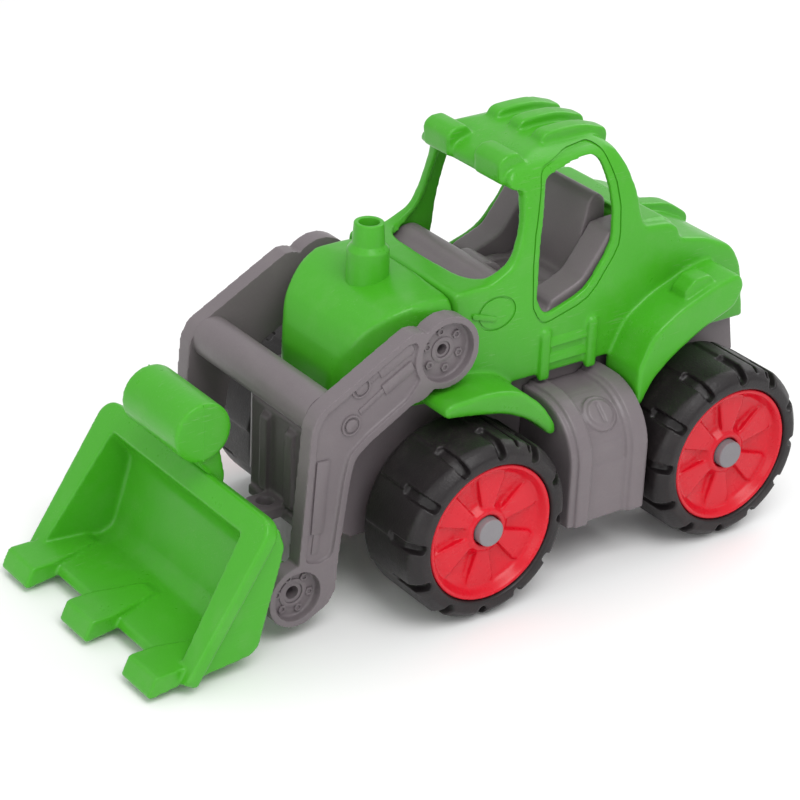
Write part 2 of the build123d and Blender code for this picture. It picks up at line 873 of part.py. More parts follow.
with BuildPart() as cross_bar:
    with BuildSketch(side(ARM_IN)):
        with Locations(BAR):
            Circle(BAR_R)
            Circle(BAR_R - 2.2, mode=Mode.SUBTRACT)
    extrude(amount=2 * ARM_IN)
save(cross_bar, "cross_bar")

# ---------------------------------------------------------------------------
# Bucket: front shell with flange and teeth, rear shell with ears, grip roller
# ---------------------------------------------------------------------------

MOUTH = Plane(
    origin=(AXLE_X + MOUTH_TOP[0], 0, MOUTH_TOP[1]),
    x_dir=(MOUTH_DOWN[0], 0, MOUTH_DOWN[1]),
    z_dir=(-MOUTH_DOWN[1], 0, MOUTH_DOWN[0]),
)
BOWL_INNER = [(109.0, 66.0), (105.4, 59.5), (96.0, 47.5), (105.8, 11.8), (137.9, 9.3), (146.0, 8.7)]
BACK_OUTER = [
    (94.3, 63.8),
    (91.0, 53.5),
    (92.4, 47.5),
    (98.8, 26.0),
    (102.8, 10.6),
    (106.5, 7.8),
    (112.6, 7.0),
    (133.8, 4.6),
]
TOOTH_OUTLINE = [
    (112.0, 10.2),
    (119.0, 12.0),
    (150.8, 11.4),
    (154.5, 3.4),
    (153.2, 2.2),
    (137.0, 4.6),
    (124.0, 8.8),
]


def bowl_block(grow):
    """Space inside the bowl, drafted in plan; grow thickens it to the outside of its wall."""
    with BuildPart() as block:
        with BuildSketch(side(80.0)):
            with BuildLine():
                Polyline(*BOWL_INNER, close=True)
            make_face()
            if grow:
                offset(amount=grow, kind=Kind.INTERSECTION)
        extrude(amount=160.0)
        with BuildSketch(level(0)):
            with BuildLine():
                Polyline(
                    (88.0, -BOWL_HALF_BACK - grow),
                    (100.0, -BOWL_HALF_BACK - grow),
                    (138.0, -BOWL_HALF_FRONT - grow),
                    (160.0, -BOWL_HALF_FRONT - grow),
                    (160.0, BOWL_HALF_FRONT + grow),
                    (138.0, BOWL_HALF_FRONT + grow),
                    (100.0, BOWL_HALF_BACK + grow),
                    (88.0, BOWL_HALF_BACK + grow),
                    close=True,
                )
            make_face()
        extrude(amount=90.0, mode=Mode.INTERSECT)
        split(bisect_by=MOUTH.offset(0.0), keep=Keep.BOTTOM)
    return block.part


bowl_outside = bowl_block(BOWL_WALL)
bowl_inside = bowl_block(0)
with BuildPart() as bucket_front:
    add(bowl_outside)
    with BuildSketch(MOUTH) as flange:
        with BuildLine():
            Polyline(
                (-FLANGE_TOP, -FLANGE_HALF),
                (-FLANGE_TOP, FLANGE_HALF),
                (MOUTH_LENGTH + 4.0, FLANGE_HALF),
                (MOUTH_LENGTH + 4.0, -FLANGE_HALF),
                close=True,
            )
        make_face()
        fillet(flange.vertices().sort_by(Axis.X)[:2], radius=9.0)
    extrude(amount=-FLANGE_THICK)
    for tooth_y in TOOTH_Y:
        with BuildSketch(side(tooth_y + TOOTH_W / 2)):
            with BuildLine():
                Polyline(*TOOTH_OUTLINE, close=True)
            make_face()
        extrude(amount=TOOTH_W)
    add(bowl_inside, mode=Mode.SUBTRACT)
    for tooth_y in TOOTH_Y:
        with BuildSketch(side(tooth_y + TOOTH_W / 2)):
            with BuildLine():
                Polyline(*TOOTH_OUTLINE[:3], (138.0, 8.0), close=True)
            make_face()
        extrude(amount=TOOTH_W)
save(bucket_front, "bucket_front")

EAR_R = 9.5
EAR_OUTLINE = [(77.0, 11.0), (112.0, 15.0), (104.0, 38.0), (95.0, 38.0), (71.5, 28.2)]
GRIP_NECK = [
    (92.0, 60.0),
    (91.2, 65.0),
    (95.4, 88.0),
    (108.0, 86.0),
    (103.4, 74.0),
    (98.6, 67.8),
    (94.6, 66.0),
    (95.5, 62.0),
]

with BuildPart() as bucket_back:
    with BuildSketch(side(BACK_HALF)):
        with BuildLine():
            Polyline(*BACK_OUTER, (120.0, 20.0), close=True)
        make_face()
    extrude(amount=2 * BACK_HALF)
    for hand in HANDS.values():
        with BuildSketch(side(hand * EAR_OUT)):
            with Locations(TILT):
                Circle(EAR_R)
            with BuildLine():
                Polyline(*EAR_OUTLINE, close=True)
            make_face()
        extrude(amount=hand * (EAR_OUT - EAR_IN))
        with BuildSketch(side(hand * EAR_OUT)):
            with Locations(TILT):
                Circle(TILT_HOLE_R - PLAY)
        extrude(amount=hand * (EAR_OUT - EAR_IN), mode=Mode.SUBTRACT)
    add(bowl_outside, mode=Mode.SUBTRACT)
    add(bucket_front.part, mode=Mode.SUBTRACT)
    with BuildSketch(MOUTH.offset(-FLANGE_THICK)):
        Rectangle(400, 400)
    extrude(amount=60.0, mode=Mode.SUBTRACT)
save(bucket_back, "bucket_back")

for hand_name, hand in HANDS.items():
    with BuildPart() as tilt_pin:
        with BuildSketch(side(hand * (ARM_OUT - HUB_DEPTH))):
            with Locations(TILT):
                Circle(TILT_HOLE_R - PLAY)
        extrude(amount=hand * (ARM_OUT - HUB_DEPTH - EAR_IN))
        with BuildSketch(side(hand * (ARM_OUT - HUB_DEPTH))):
            with Locations(TILT):
                Circle(3.0)
        extrude(amount=hand * 7.0, mode=Mode.SUBTRACT)
    save(tilt_pin, f"tilt_pin_{hand_name}")

with BuildPart() as bucket_grip:
    with BuildSketch(side(GRIP_HALF)):
        with Locations(GRIP):
            Circle(GRIP_R)
    extrude(amount=2 * GRIP_HALF)
    chamfer(bucket_grip.edges().filter_by(GeomType.CIRCLE), length=1.0)
    with BuildSketch(side(NECK_HALF)):
        with BuildLine():
            Polyline(*GRIP_NECK, close=True)
        make_face()
    extrude(amount=2 * NECK_HALF)
    add(bucket_front.part, mode=Mode.SUBTRACT)
    add(bucket_back.part, mode=Mode.SUBTRACT)
save(bucket_grip, "bucket_grip")
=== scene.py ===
import json
import math

import bpy
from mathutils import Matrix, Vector


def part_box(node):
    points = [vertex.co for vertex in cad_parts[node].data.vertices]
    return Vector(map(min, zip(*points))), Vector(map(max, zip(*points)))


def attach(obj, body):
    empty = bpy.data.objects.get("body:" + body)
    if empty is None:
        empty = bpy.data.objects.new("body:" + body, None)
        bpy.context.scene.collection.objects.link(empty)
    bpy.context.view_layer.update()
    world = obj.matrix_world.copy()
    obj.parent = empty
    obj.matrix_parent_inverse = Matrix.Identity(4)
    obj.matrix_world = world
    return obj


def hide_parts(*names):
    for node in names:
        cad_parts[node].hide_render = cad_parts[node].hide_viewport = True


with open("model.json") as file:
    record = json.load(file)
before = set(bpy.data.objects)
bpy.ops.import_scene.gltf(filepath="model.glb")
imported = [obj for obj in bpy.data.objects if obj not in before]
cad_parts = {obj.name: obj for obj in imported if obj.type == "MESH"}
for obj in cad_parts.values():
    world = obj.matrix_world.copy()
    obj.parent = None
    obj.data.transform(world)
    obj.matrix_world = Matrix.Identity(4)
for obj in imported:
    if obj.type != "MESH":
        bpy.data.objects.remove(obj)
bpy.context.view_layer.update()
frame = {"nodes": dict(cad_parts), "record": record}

MM = 0.001

# Camera: where it stands, how it is turned (degrees) and its lens
CAMERA_PLACE = (0.6414, 0.8604, 0.6141)
CAMERA_TURN = (62.93, -2.26, 144.49)
CAMERA_LENS = 125.8


AHEAD = sum(corner.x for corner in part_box("front_axle")) / 2 / MM  # front axle, ahead of the middle
AXLE_UP = sum(corner.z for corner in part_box("front_axle")) / 2 / MM

MOUTH_TOP = (105.4, 59.5)
MOUTH_DOWN = (0.544, -0.839)

# ---------------------------------------------------------------------------
# Ways of shaping a piece.  Outlines are in millimetres: a side outline gives
# (ahead of the front axle, up), a front outline (to the left, up) and a top
# outline (ahead of the front axle, to the left).
# ---------------------------------------------------------------------------

FACING = {
    "side": lambda a, b, depth: Vector((AHEAD + a, depth, b)) * MM,
    "front": lambda a, b, depth: Vector((AHEAD + depth, a, b)) * MM,
    "top": lambda a, b, depth: Vector((AHEAD + a, b, depth)) * MM,
    # The bucket's mouth: (down its slope, to the left), depth out of the mouth
    "mouth": lambda a, b, depth: Vector((
        AHEAD + MOUTH_TOP[0] + a * MOUTH_DOWN[0] - depth * MOUTH_DOWN[1],
        b,
        MOUTH_TOP[1] + a * MOUTH_DOWN[1] + depth * MOUTH_DOWN[0],
    )) * MM,
}


def deselect_all():
    bpy.ops.object.select_all(action="DESELECT")


def only(piece):
    """Selects this piece alone and makes it active."""
    deselect_all()
    piece.select_set(True)
    bpy.context.view_layer.objects.active = piece


def edit(piece):
    """Opens the piece in edit mode with everything selected."""
    only(piece)
    bpy.ops.object.mode_set(mode="EDIT")
    bpy.context.tool_settings.mesh_select_mode = (True, False, False)
    bpy.ops.mesh.select_all(action="SELECT")


def done():
    bpy.ops.object.mode_set(mode="OBJECT")


def rounded(corners, step=15.0):
    """Outline of (a, b, radius) corners, each turned into an arc of that radius."""
    outline = []
    for i, (a, b, radius) in enumerate(corners):
        here = Vector((a, b))
        back = Vector(corners[i - 1][:2]) - here
        ahead = Vector(corners[(i + 1) % len(corners)][:2]) - here
        if radius <= 0:
            outline.append((a, b))
            continue
        inner = back.angle(ahead)
        reach = min(radius / math.tan(inner / 2), 0.49 * back.length, 0.49 * ahead.length)
        start = here + back.normalized() * reach
        middle = (back.normalized() + ahead.normalized()).normalized() * (reach / math.cos(inner / 2))
        centre = here + middle
        arm = start - centre
        end = here + ahead.normalized() * reach - centre
        sweep = math.atan2(arm.x * end.y - arm.y * end.x, arm.dot(end))
        parts = max(1, round(abs(math.degrees(sweep)) / step))
        for k in range(parts + 1):
            turn = sweep * k / parts
            x = arm.x * math.cos(turn) - arm.y * math.sin(turn)
            y = arm.x * math.sin(turn) + arm.y * math.cos(turn)
            outline.append((centre.x + x, centre.y + y))
    return outline


def both_halves(half):
    """Closes a left-hand outline, from bottom to top, with its reflection."""
    return half + [(-a, b, radius) for a, b, radius in reversed(half)]


def circle(a, b, radius, parts=48):
    """A round outline."""
    turns = [math.tau * k / parts for k in range(parts)]
    return [(a + radius * math.cos(turn), b + radius * math.sin(turn), 0) for turn in turns]


def ring_of(a, b, radius, count, first=0.0):
    """Centres of a number of spots spread evenly on a circle, the first at an angle in degrees."""
    turns = [math.radians(first) + math.tau * k / count for k in range(count)]
    return [(a + radius * math.cos(turn), b + radius * math.sin(turn)) for turn in turns]


def slab(ax, az, bx, bz, width, end=1.0):
    """Outline of a straight bar of this width from one spot to another."""
    along = Vector((bx - ax, bz - az)).normalized()
    across = Vector((-along.y, along.x)) * width / 2
    spots = [(ax, az, 1), (bx, bz, 1), (bx, bz, -1), (ax, az, -1)]
    return [(x + sign * across.x, z + sign * across.y, end) for x, z, sign in spots]


def draw(name, spots):
    """A filled outline, drawn by extruding one vertex from spot to spot."""
    deselect_all()
    bpy.ops.mesh.primitive_plane_add(size=MM, location=spots[0])
    piece = bpy.context.object
    piece.name = name
    bpy.ops.object.transform_apply()
    edit(piece)
    bpy.ops.mesh.merge(type="CENTER")
    for here, there in zip(spots, spots[1:]):
        bpy.ops.mesh.extrude_vertices_move(TRANSFORM_OT_translate={"value": there - here})
    bpy.ops.mesh.select_all(action="SELECT")
    bpy.ops.mesh.edge_face_add()
    done()
    return piece


def prism(name, corners, facing, near, far):
    """A block with a rounded outline that runs from near to far across its facing."""
    place = FACING[facing]
    outline = rounded(corners)
    piece = draw(name, [place(a, b, near) for a, b in outline])
    edit(piece)
    step = place(0, 0, far) - place(0, 0, near)
    bpy.ops.mesh.extrude_region_move(TRANSFORM_OT_translate={"value": step})
    bpy.ops.mesh.select_all(action="SELECT")
    bpy.ops.mesh.normals_make_consistent(inside=False)
    done()
    return piece


def apply(piece, kind, **settings):
    """Adds a modifier with these settings and applies it."""
    only(piece)
    modifier = piece.modifiers.new("step", kind)
    for setting, value in settings.items():
        setattr(modifier, setting, value)
    bpy.ops.object.modifier_apply(modifier=modifier.name)


def combine(piece, tool, operation="DIFFERENCE"):
    """Cuts, joins or intersects a piece with a tool, which is used up."""
    apply(piece, "BOOLEAN", object=tool, operation=operation, solver="EXACT")
    bpy.data.objects.remove(tool, do_unlink=True)


def merge(piece, *others):
    """Gathers loose blocks into one object; round_over then fuses them."""
    only(piece)
    for other in others:
        other.select_set(True)
    bpy.ops.object.join()


def copy_of(piece, name):
    only(piece)
    bpy.ops.object.duplicate(linked=False)
    twin = bpy.context.object
    twin.name = name
    return twin


def mirrored(piece, name):
    """A copy on the other side of the middle plane."""
    twin = copy_of(piece, name)
    edit(twin)
    bpy.ops.transform.resize(value=(1.0, -1.0, 1.0), center_override=(0.0, 0.0, 0.0))
    bpy.ops.mesh.flip_normals()
    done()
    return twin


def swell(piece, amount):
    """Moves the whole surface out along its normals, or in if the amount is negative."""
    edit(piece)
    bpy.ops.transform.shrink_fatten(value=amount * MM)
    done()


def round_over(piece, grain, passes, keep=1.0):
    """Fuses a piece and rounds its edges, as a mould does; keep thins its triangles."""
    apply(piece, "REMESH", mode="VOXEL", voxel_size=grain * MM)
    apply(piece, "SMOOTH", factor=0.5, iterations=passes)
    if keep < 1.0:
        apply(piece, "DECIMATE", ratio=keep)
    only(piece)
    bpy.ops.object.shade_smooth()


def soften(piece, width=0.22):
    """Breaks the sharp edges of a small block."""
    apply(piece, "BEVEL", width=width * MM, segments=2, limit_method="ANGLE", angle_limit=math.radians(40))


def finish_piece(piece, body, slot, material, *nodes):
    """Rides the piece on its body, gives it its material and lets it stand for the CAD nodes."""
    piece.data.materials.clear()
    piece.data.materials.append(material)
    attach(piece, body)
    if nodes:
        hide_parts(*nodes)


def place_camera():
    """The camera, square sensor, no depth of field."""
    data = bpy.data.cameras.new("camera")
    data.lens = CAMERA_LENS
    data.sensor_width = 36.0
    data.clip_start = 0.05
    data.clip_end = 20.0
    camera = bpy.data.objects.new("camera", data)
    camera.location = CAMERA_PLACE
    camera.rotation_euler = [math.radians(a) for a in CAMERA_TURN]
    bpy.context.scene.collection.objects.link(camera)
    bpy.context.scene.camera = camera


def soft_light(name, place, aim, size, power, colour=(1.0, 1.0, 1.0)):
    """A square area light at a place, turned to face a point."""
    data = bpy.data.lights.new(name, "AREA")
    data.shape = "SQUARE"
    data.size = size
    data.energy = power
    data.color = colour
    light = bpy.data.objects.new(name, data)
    light.location = place
    light.rotation_euler = (Vector(place) - Vector(aim)).to_track_quat("Z", "Y").to_euler()
    bpy.context.scene.collection.objects.link(light)


def light_studio():
    soft_light("key", (0.15, 0.9, 1.5), (0.0, 0.0, 0.05), 1.0, 14.0)
    soft_light("front_fill", (1.6, 0.6, 0.7), (0.05, 0.0, 0.06), 1.1, 5.0)
    soft_light("rear_rim", (-1.3, -0.3, 1.1), (0.0, 0.0, 0.08), 0.9, 6.0)
    world = bpy.data.worlds.new("studio")
    world.use_nodes = True
    world.node_tree.nodes["Background"].inputs["Color"].default_value = (1.0, 1.0, 1.0, 1.0)
    world.node_tree.nodes["Background"].inputs["Strength"].default_value = 0.75
    bpy.context.scene.world = world
    bpy.context.scene.view_settings.view_transform = "Standard"


def lay_floor():
    """Plain pale floor under the wheels."""
    bpy.ops.mesh.primitive_plane_add(size=12.0, location=(0.0, 0.0, 0.0))
    floor = bpy.context.object
    floor.name = "floor"
    material = bpy.data.materials.new("pale_floor")
    material.use_nodes = True
    shader = material.node_tree.nodes["Principled BSDF"]
    shader.inputs["Base Color"].default_value = (0.93, 0.93, 0.93, 1.0)
    shader.inputs["Roughness"].default_value = 0.9
    floor.data.materials.append(material)


# ---------------------------------------------------------------------------
# Hood and cab
# ---------------------------------------------------------------------------

WALL = 2.8
HOOD_REAR = -5.2
SILL = 84.0
STACK_AHEAD = 11.8


def hollow(piece):
    """Opens a block below and leaves only its moulded wall."""
    edit(piece)
    bpy.ops.mesh.bisect(plane_co=(0.0, 0.0, (SILL + 0.3) * MM), plane_no=(0.0, 0.0, 1.0), clear_inner=True)
    done()
    apply(piece, "SOLIDIFY", thickness=WALL * MM, offset=-1.0)


def make_hood():
    side = [
        (HOOD_REAR, SILL, 0), (HOOD_REAR, 132.6, 0), (8, 132.0, 40), (24, 127.6, 30), (35, 118.6, 24),
        (41.6, 104, 24), (42.8, SILL, 0),
    ]
    front = both_halves([(38.6, SILL, 0), (38.6, 130.4, 6.5), (18, 132, 60), (6, 132.8, 20)])
    half_plan = [(HOOD_REAR, 39.0, 0), (9, 37.4, 24), (24, 32.8, 24), (35.6, 26.4, 12), (42.8, 17, 6)]
    top = half_plan + [(a, -b, r) for a, b, r in reversed(half_plan)]
    hood = prism("hood", side, "side", -45, 45)
    combine(hood, prism("hood_front", front, "front", -20, 60), "INTERSECT")
    combine(hood, prism("hood_top", top, "top", SILL - 10, 150), "INTERSECT")
    round_over(hood, 1.1, 12)
    hollow(hood)
    round_over(hood, 0.8, 2)
    return hood


def make_stack():
    """Exhaust stack: flared foot, shoulder and open pipe."""
    section = [
        (0, 127.5, 0), (9.3, 127.5, 0), (9.0, 142.6, 1.4), (7.0, 145.2, 0.9), (6.4, 154.6, 0.7),
        (4.4, 154.6, 0.6), (3.9, 146, 0.5), (0, 146, 0),
    ]
    spots = [FACING["side"](STACK_AHEAD + a, b, 0) for a, b in rounded(section, 20)]
    stack = spun("stack", spots, FACING["side"](STACK_AHEAD, 0, 0), (0.0, 0.0, 1.0), 96)
    only(stack)
    bpy.ops.object.shade_smooth_by_angle(angle=math.radians(50))
    return stack


CAB_SIDE = [
    (HOOD_REAR + 0.2, SILL, 0), (HOOD_REAR + 0.2, 132.2, 1.5), (-24, 132.6, 12), (-36.5, 138.5, 12),
    (-41.6, 154, 30), (-42.8, 168.5, 2), (-36.8, 169.4, 2), (-35.2, 173.6, 3), (-38.8, 177, 5),
    (-52, 180.4, 20), (-70, 182.4, 40), (-83, 182, 20), (-92.2, 179.2, 10), (-101.5, 163, 40),
    (-106.6, 140.6, 2),
    (-121, 139.2, 5), (-126, 136, 4), (-127, 131, 2), (-143, 127.6, 20), (-157.5, 120.8, 12),
    (-163.4, 110.5, 12), (-167.8, SILL, 0),
]
CAB_FRONT_HALF = [
    (40, 70, 0), (40, 116, 60), (38.3, 139, 60), (36.3, 155, 60), (33.6, 169, 20), (29.6, 177.4, 10),
    (20, 181.2, 14), (6, 182.8, 40),
]
DOOR = [
    (-52.6, 111.6, 6), (-48.3, 120, 6), (-49.6, 143, 60), (-54.4, 171.6, 5), (-69, 175.0, 20),
    (-83.6, 176.4, 6), (-89.4, 156, 30), (-88.6, 137, 16), (-75, 118.6, 20),
]
WINDSHIELD_HALF = [(28, 129, 8), (33.6, 133.4, 8), (32.2, 152, 30), (27.8, 168.5, 4)]
SILL_PLAN = [
    (-60, -36, 0), (-18.6, -36, 18), (-17.4, 0, 0), (-18.6, 36, 18), (-60, 36, 0),
]
REAR_WINDOW_HALF = [(26, 144, 6), (30.5, 150, 8), (28, 164, 20), (24, 176, 6)]
FRONT_FENDER = [
    (14, 88.6, 2), (12.5, 94, 4), (-10, 94.6, 30), (-24, 91.5, 20), (-36, 81.5, 20), (-42.9, 71, 10),
    (-43.2, 66.8, 2), (-40.2, 66.6, 2), (-36.5, 70.5, 8), (-29.5, 76.5, 20), (-17, 82.8, 20), (-2, 86, 30),
]
REAR_FENDER = [
    (-89.7, 67.4, 1.5), (-89.7, 82, 8), (-96.5, 95.5, 14), (-110, 103.4, 30), (-128, 109.6, 30),
    (-141.6, 112, 4), (-144.2, 106, 3), (-140, 98, 6), (-124, 92.4, 30), (-108.5, 84.4, 30),
    (-97.6, 76, 20), (-92.8, 67.2, 1.5),
]
FENDER_IN = 37.6
FENDER_OUT = 60.8
LADDER_BARS = (-53.2, -78.7)
LADDER_TREADS = (98.6, 91.0)
OVAL_MARK = (-26.6, 119.4)


def fender(name, outline, rise):
    """One fender block on the left; it rises towards the body, and its outer edge is well rounded."""
    block = prism(name, outline, "side", FENDER_IN, FENDER_OUT)
    for vertex in block.data.vertices:
        vertex.select = vertex.co.y < (FENDER_IN + 1) * MM
    foot = FACING["side"](outline[0][0], 60, 0)
    only(block)
    bpy.ops.object.mode_set(mode="EDIT")
    bpy.ops.transform.resize(value=(1.05, 1.0, rise), center_override=foot)
    done()
    round_over(block, 0.9, 8)
    return block


def grown(outline, amount):
    """The same outline pushed out from its middle by an amount."""
    middle = Vector([sum(corner[i] for corner in outline) / len(outline) for i in (0, 1)])
    spots = []
    for a, b, radius in outline:
        arm = Vector((a, b)) - middle
        spot = middle + arm * (1 + amount / arm.length)
        spots.append((spot.x, spot.y, max(radius, 4)))
    return spots


def oval(reach):
    """Outline of the oval mark below the windshield, this far from its centre at the top."""
    ahead, up = OVAL_MARK
    return [(ahead + 1.34 * (a - ahead), b, 0) for a, b, _ in circle(ahead, up, reach, 48)]


def groove(skin, outer, inner, depth):
    """A cutter that sinks a line into the cab's left side, to an even depth under its skin."""
    line = prism("line", outer, "side", 20, 60)
    combine(line, prism("line_inside", inner, "side", 10, 70))
    core = copy_of(skin, "core")
    swell(core, -depth)
    combine(line, core)
    return line


def side_reliefs():
    """Raised shapes of the cab's left side: two ladder bars and a lamp."""
    blocks = []
    for ahead in LADDER_BARS:
        bar = [
            (ahead - 2.7, 82, 0.4), (ahead - 2.7, 105.6, 2.6),
            (ahead + 2.7, 105.6, 2.6), (ahead + 2.7, 82, 0.4),
        ]
        block = prism("ladder_bar", bar, "side", 38.6, 42.1)
        round_over(block, 0.5, 6)
        blocks.append(block)
    lamp = [(-115.4, 100, 0), (-116, 114.6, 3), (-120.8, 119.4, 3), (-130, 120, 3), (-136.5, 108, 4)]
    block = prism("lamp", lamp, "side", 46.6, 57.2)
    round_over(block, 0.6, 5)
    blocks.append(block)
    return blocks


def crisp_reliefs():
    """Sharper raised shapes of the left side: the ladder's treads and a flat handle."""
    blocks = []
    for up in LADDER_TREADS:
        tread = [(38.6, up + 2.6, 0), (40.0, up + 2.6, 0), (41.3, up - 1.5, 0), (38.6, up - 1.5, 0)]
        blocks.append(prism("ladder_tread", tread, "front", LADDER_BARS[1], LADDER_BARS[0]))
    handle = slab(-13.6, 121.2, -26.4, 116.9, 2.4, 1.15)
    blocks.append(prism("handle", handle, "side", 38.8, 40.6))
    for block in blocks:
        soften(block)
    return blocks


def roof_and_deck_reliefs():
    """Two lamps at the front of the roof, three ribs on it and one on the rear deck."""
    blocks = []
    pod = [
        (-42, 170, 0), (-34.4, 170.2, 2), (-33.4, 180.6, 3.6), (-37.6, 183.2, 2.4), (-43.4, 183.4, 2.5),
        (-49.5, 176, 3),
    ]
    for near in (8.8, -27.2):
        block = prism("roof_lamp", pod, "side", near, near + 18.4)
        round_over(block, 0.6, 5)
        blocks.append(block)
    for across in (-15.5, 0, 15.5):
        low = 0.03 * abs(across)
        rib = [(-60.4, 176, 0), (-61.4, 185.7 - low, 4.5), (-73, 186.5 - low, 20), (-84, 186.1 - low, 20)]
        rib += [(-97.5, 181.8 - low, 4), (-97, 172, 0)]
        block = prism("roof_rib", rib, "side", across - 3.9, across + 3.9)
        round_over(block, 0.6, 8)
        blocks.append(block)
    box = [(-98, 128, 0), (-103, 141.4, 0), (-121, 140.2, 2), (-126, 137, 3), (-127.6, 126, 0)]
    block = prism("deck_box", box, "side", -33.5, 33.5)
    round_over(block, 0.7, 3)
    blocks.append(block)
    ridge = [(-129, 126, 0), (-130.5, 133.4, 4), (-150, 130, 20), (-162.6, 121.4, 6), (-160, 115, 0)]
    block = prism("deck_ridge", ridge, "side", -4.6, 4.6)
    round_over(block, 0.6, 6)
    blocks.append(block)
    return blocks


def make_cab_body():
    body = prism("cab_body", CAB_SIDE, "side", -45, 45)
    combine(body, prism("cab_front", both_halves(CAB_FRONT_HALF), "front", -180, 20), "INTERSECT")
    round_over(body, 1.1, 7)
    lines = [
        groove(body, grown(DOOR, 4.5), grown(DOOR, 3.6), 0.55),
        groove(body, oval(7.6), oval(6.6), 0.55),
    ]
    hollow(body)
    combine(body, prism("door_cut", DOOR, "side", -60, 60))
    windshield = prism("windshield_cut", both_halves(WINDSHIELD_HALF), "front", -60, -10)
    combine(windshield, prism("sill_plan", SILL_PLAN, "top", 120, 180), "INTERSECT")
    combine(body, windshield)
    combine(body, prism("rear_cut", both_halves(REAR_WINDOW_HALF), "front", -118, -92))
    fenders = [fender("front_fender", FRONT_FENDER, 1.03), fender("rear_fender", REAR_FENDER, 1.13)]
    left = fenders + side_reliefs()
    right = [mirrored(block, "right_relief") for block in left]
    merge(body, *left, *right, *roof_and_deck_reliefs())
    round_over(body, 0.62, 13, 0.3)
    lines += [mirrored(line, "line_right") for line in lines]
    merge(lines[0], *lines[1:])
    combine(body, lines[0])
    left = crisp_reliefs()
    merge(body, *left, *[mirrored(block, "right_relief") for block in left])
    only(body)
    bpy.ops.object.shade_smooth_by_angle(angle=math.radians(40))
    return body


# ---------------------------------------------------------------------------
# Cabin
# ---------------------------------------------------------------------------


def make_tub():
    """Floor tub with a foot well, a console at each side, a rolled dash and the hump behind it."""
    tub = prism("tub", [(-26, 84, 0), (-26, 112, 3), (-104, 112, 3), (-104, 84, 0)], "side", -36.2, 36.2)
    well = [(-38, -21, 4), (-38, 21, 4), (-101, 21, 4), (-101, -21, 4)]
    combine(tub, prism("well", well, "top", 98, 140))
    console = [
        (-56, 108, 0), (-59, 115.5, 4), (-75, 121.6, 8), (-85, 135, 6), (-89, 141, 3), (-103.4, 142, 2),
        (-103.4, 108, 0),
    ]
    dash_foot = [(-16, 106, 0), (-16.4, 124, 5), (-30, 130, 8), (-41, 120, 2), (-42, 106, 0)]
    hump_foot = [(-40, 98, 0), (-40, 118, 0), (-54.4, 116, 2), (-54.6, 98, 0)]
    blocks = [
        prism("console_left", console, "side", 21.4, 35.6),
        prism("console_right", console, "side", -35.6, -21.4),
        prism("dash", circle(-33.5, 122.8, 8.6, 40), "side", -34.6, 34.6),
        prism("dash_foot", dash_foot, "side", -34.2, 34.2),
        prism("hump", circle(-44, 116, 10.6, 40), "side", -9.2, 9.2),
        prism("hump_foot", hump_foot, "side", -9.2, 9.2),
    ]
    merge(tub, *blocks)
    round_over(tub, 0.9, 5, 0.6)
    return tub


def make_seat():
    """Seat with a raised bolster at each side of its cushion and back."""
    shell = [
        (-61.6, 98, 0), (-60.8, 111.5, 3), (-66, 114.4, 4), (-82, 112.6, 5), (-89.6, 149, 3),
        (-93.6, 152.6, 2.5),
        (-98.6, 149, 4), (-100.8, 98, 0),
    ]
    seat = prism("seat", shell, "side", -19.6, 19.6)
    dip = [(-56, 112.4, 0), (-80.6, 109.6, 5), (-91, 156, 0), (-56, 160, 0)]
    combine(seat, prism("seat_dip", dip, "side", -13.6, 13.6))
    round_over(seat, 0.8, 4, 0.6)
    return seat


# ---------------------------------------------------------------------------
# Loader arms
# ---------------------------------------------------------------------------

LIFT = (6.0, 113.8)
TILT = (77.0, 20.5)
ARM_IN = 42.5
ARM_OUT = 50.5
PANEL_OUT = 48.9
HUB_FLOOR = 46.2
ARM_OUTLINE = [
    (12, 99, 0), (17, 95.4, 4), (23, 94.4, 3), (43, 83, 8), (50.4, 77.4, 8), (52.7, 67.5, 14),
    (57.2, 34.5, 30),
    (58.3, 18.5, 6), (62, 12.5, 4), (69, 9, 0), (82, 20, 0), (77.2, 33, 6), (72, 96.2, 7), (68.3, 103, 7),
    (24.5, 126.8, 4), (19, 126.4, 4), (12, 122, 0),
]
PANEL = [
    (19.5, 104.5, 4), (25.2, 97.5, 3), (44.4, 86.6, 9), (53.4, 79.6, 8), (56, 68, 14), (60.4, 34.8, 10),
    (66.5, 33.4, 4), (73.6, 35, 3), (68.9, 94.6, 7), (66, 100.4, 7), (26.4, 122.2, 4), (21.6, 122.6, 3),
]


def hub_fittings(centre, hole, nut_ring, first_nut):
    """Collar round a hub's bore and six hexagonal nuts on its floor."""
    collar = prism("collar", circle(*centre, hole + 1.9), "side", ARM_IN + 1, HUB_FLOOR + 0.5)
    combine(collar, prism("collar_bore", circle(*centre, hole), "side", 30, 60))
    fittings = [collar]
    for a, b in ring_of(*centre, nut_ring, 6, first_nut):
        nut = prism("nut", circle(a, b, 2.0, 6), "side", HUB_FLOOR - 1, HUB_FLOOR + 0.9)
        combine(nut, prism("nut_hole", circle(a, b, 0.95, 16), "side", HUB_FLOOR + 0.2, 60))
        fittings.append(nut)
    return fittings


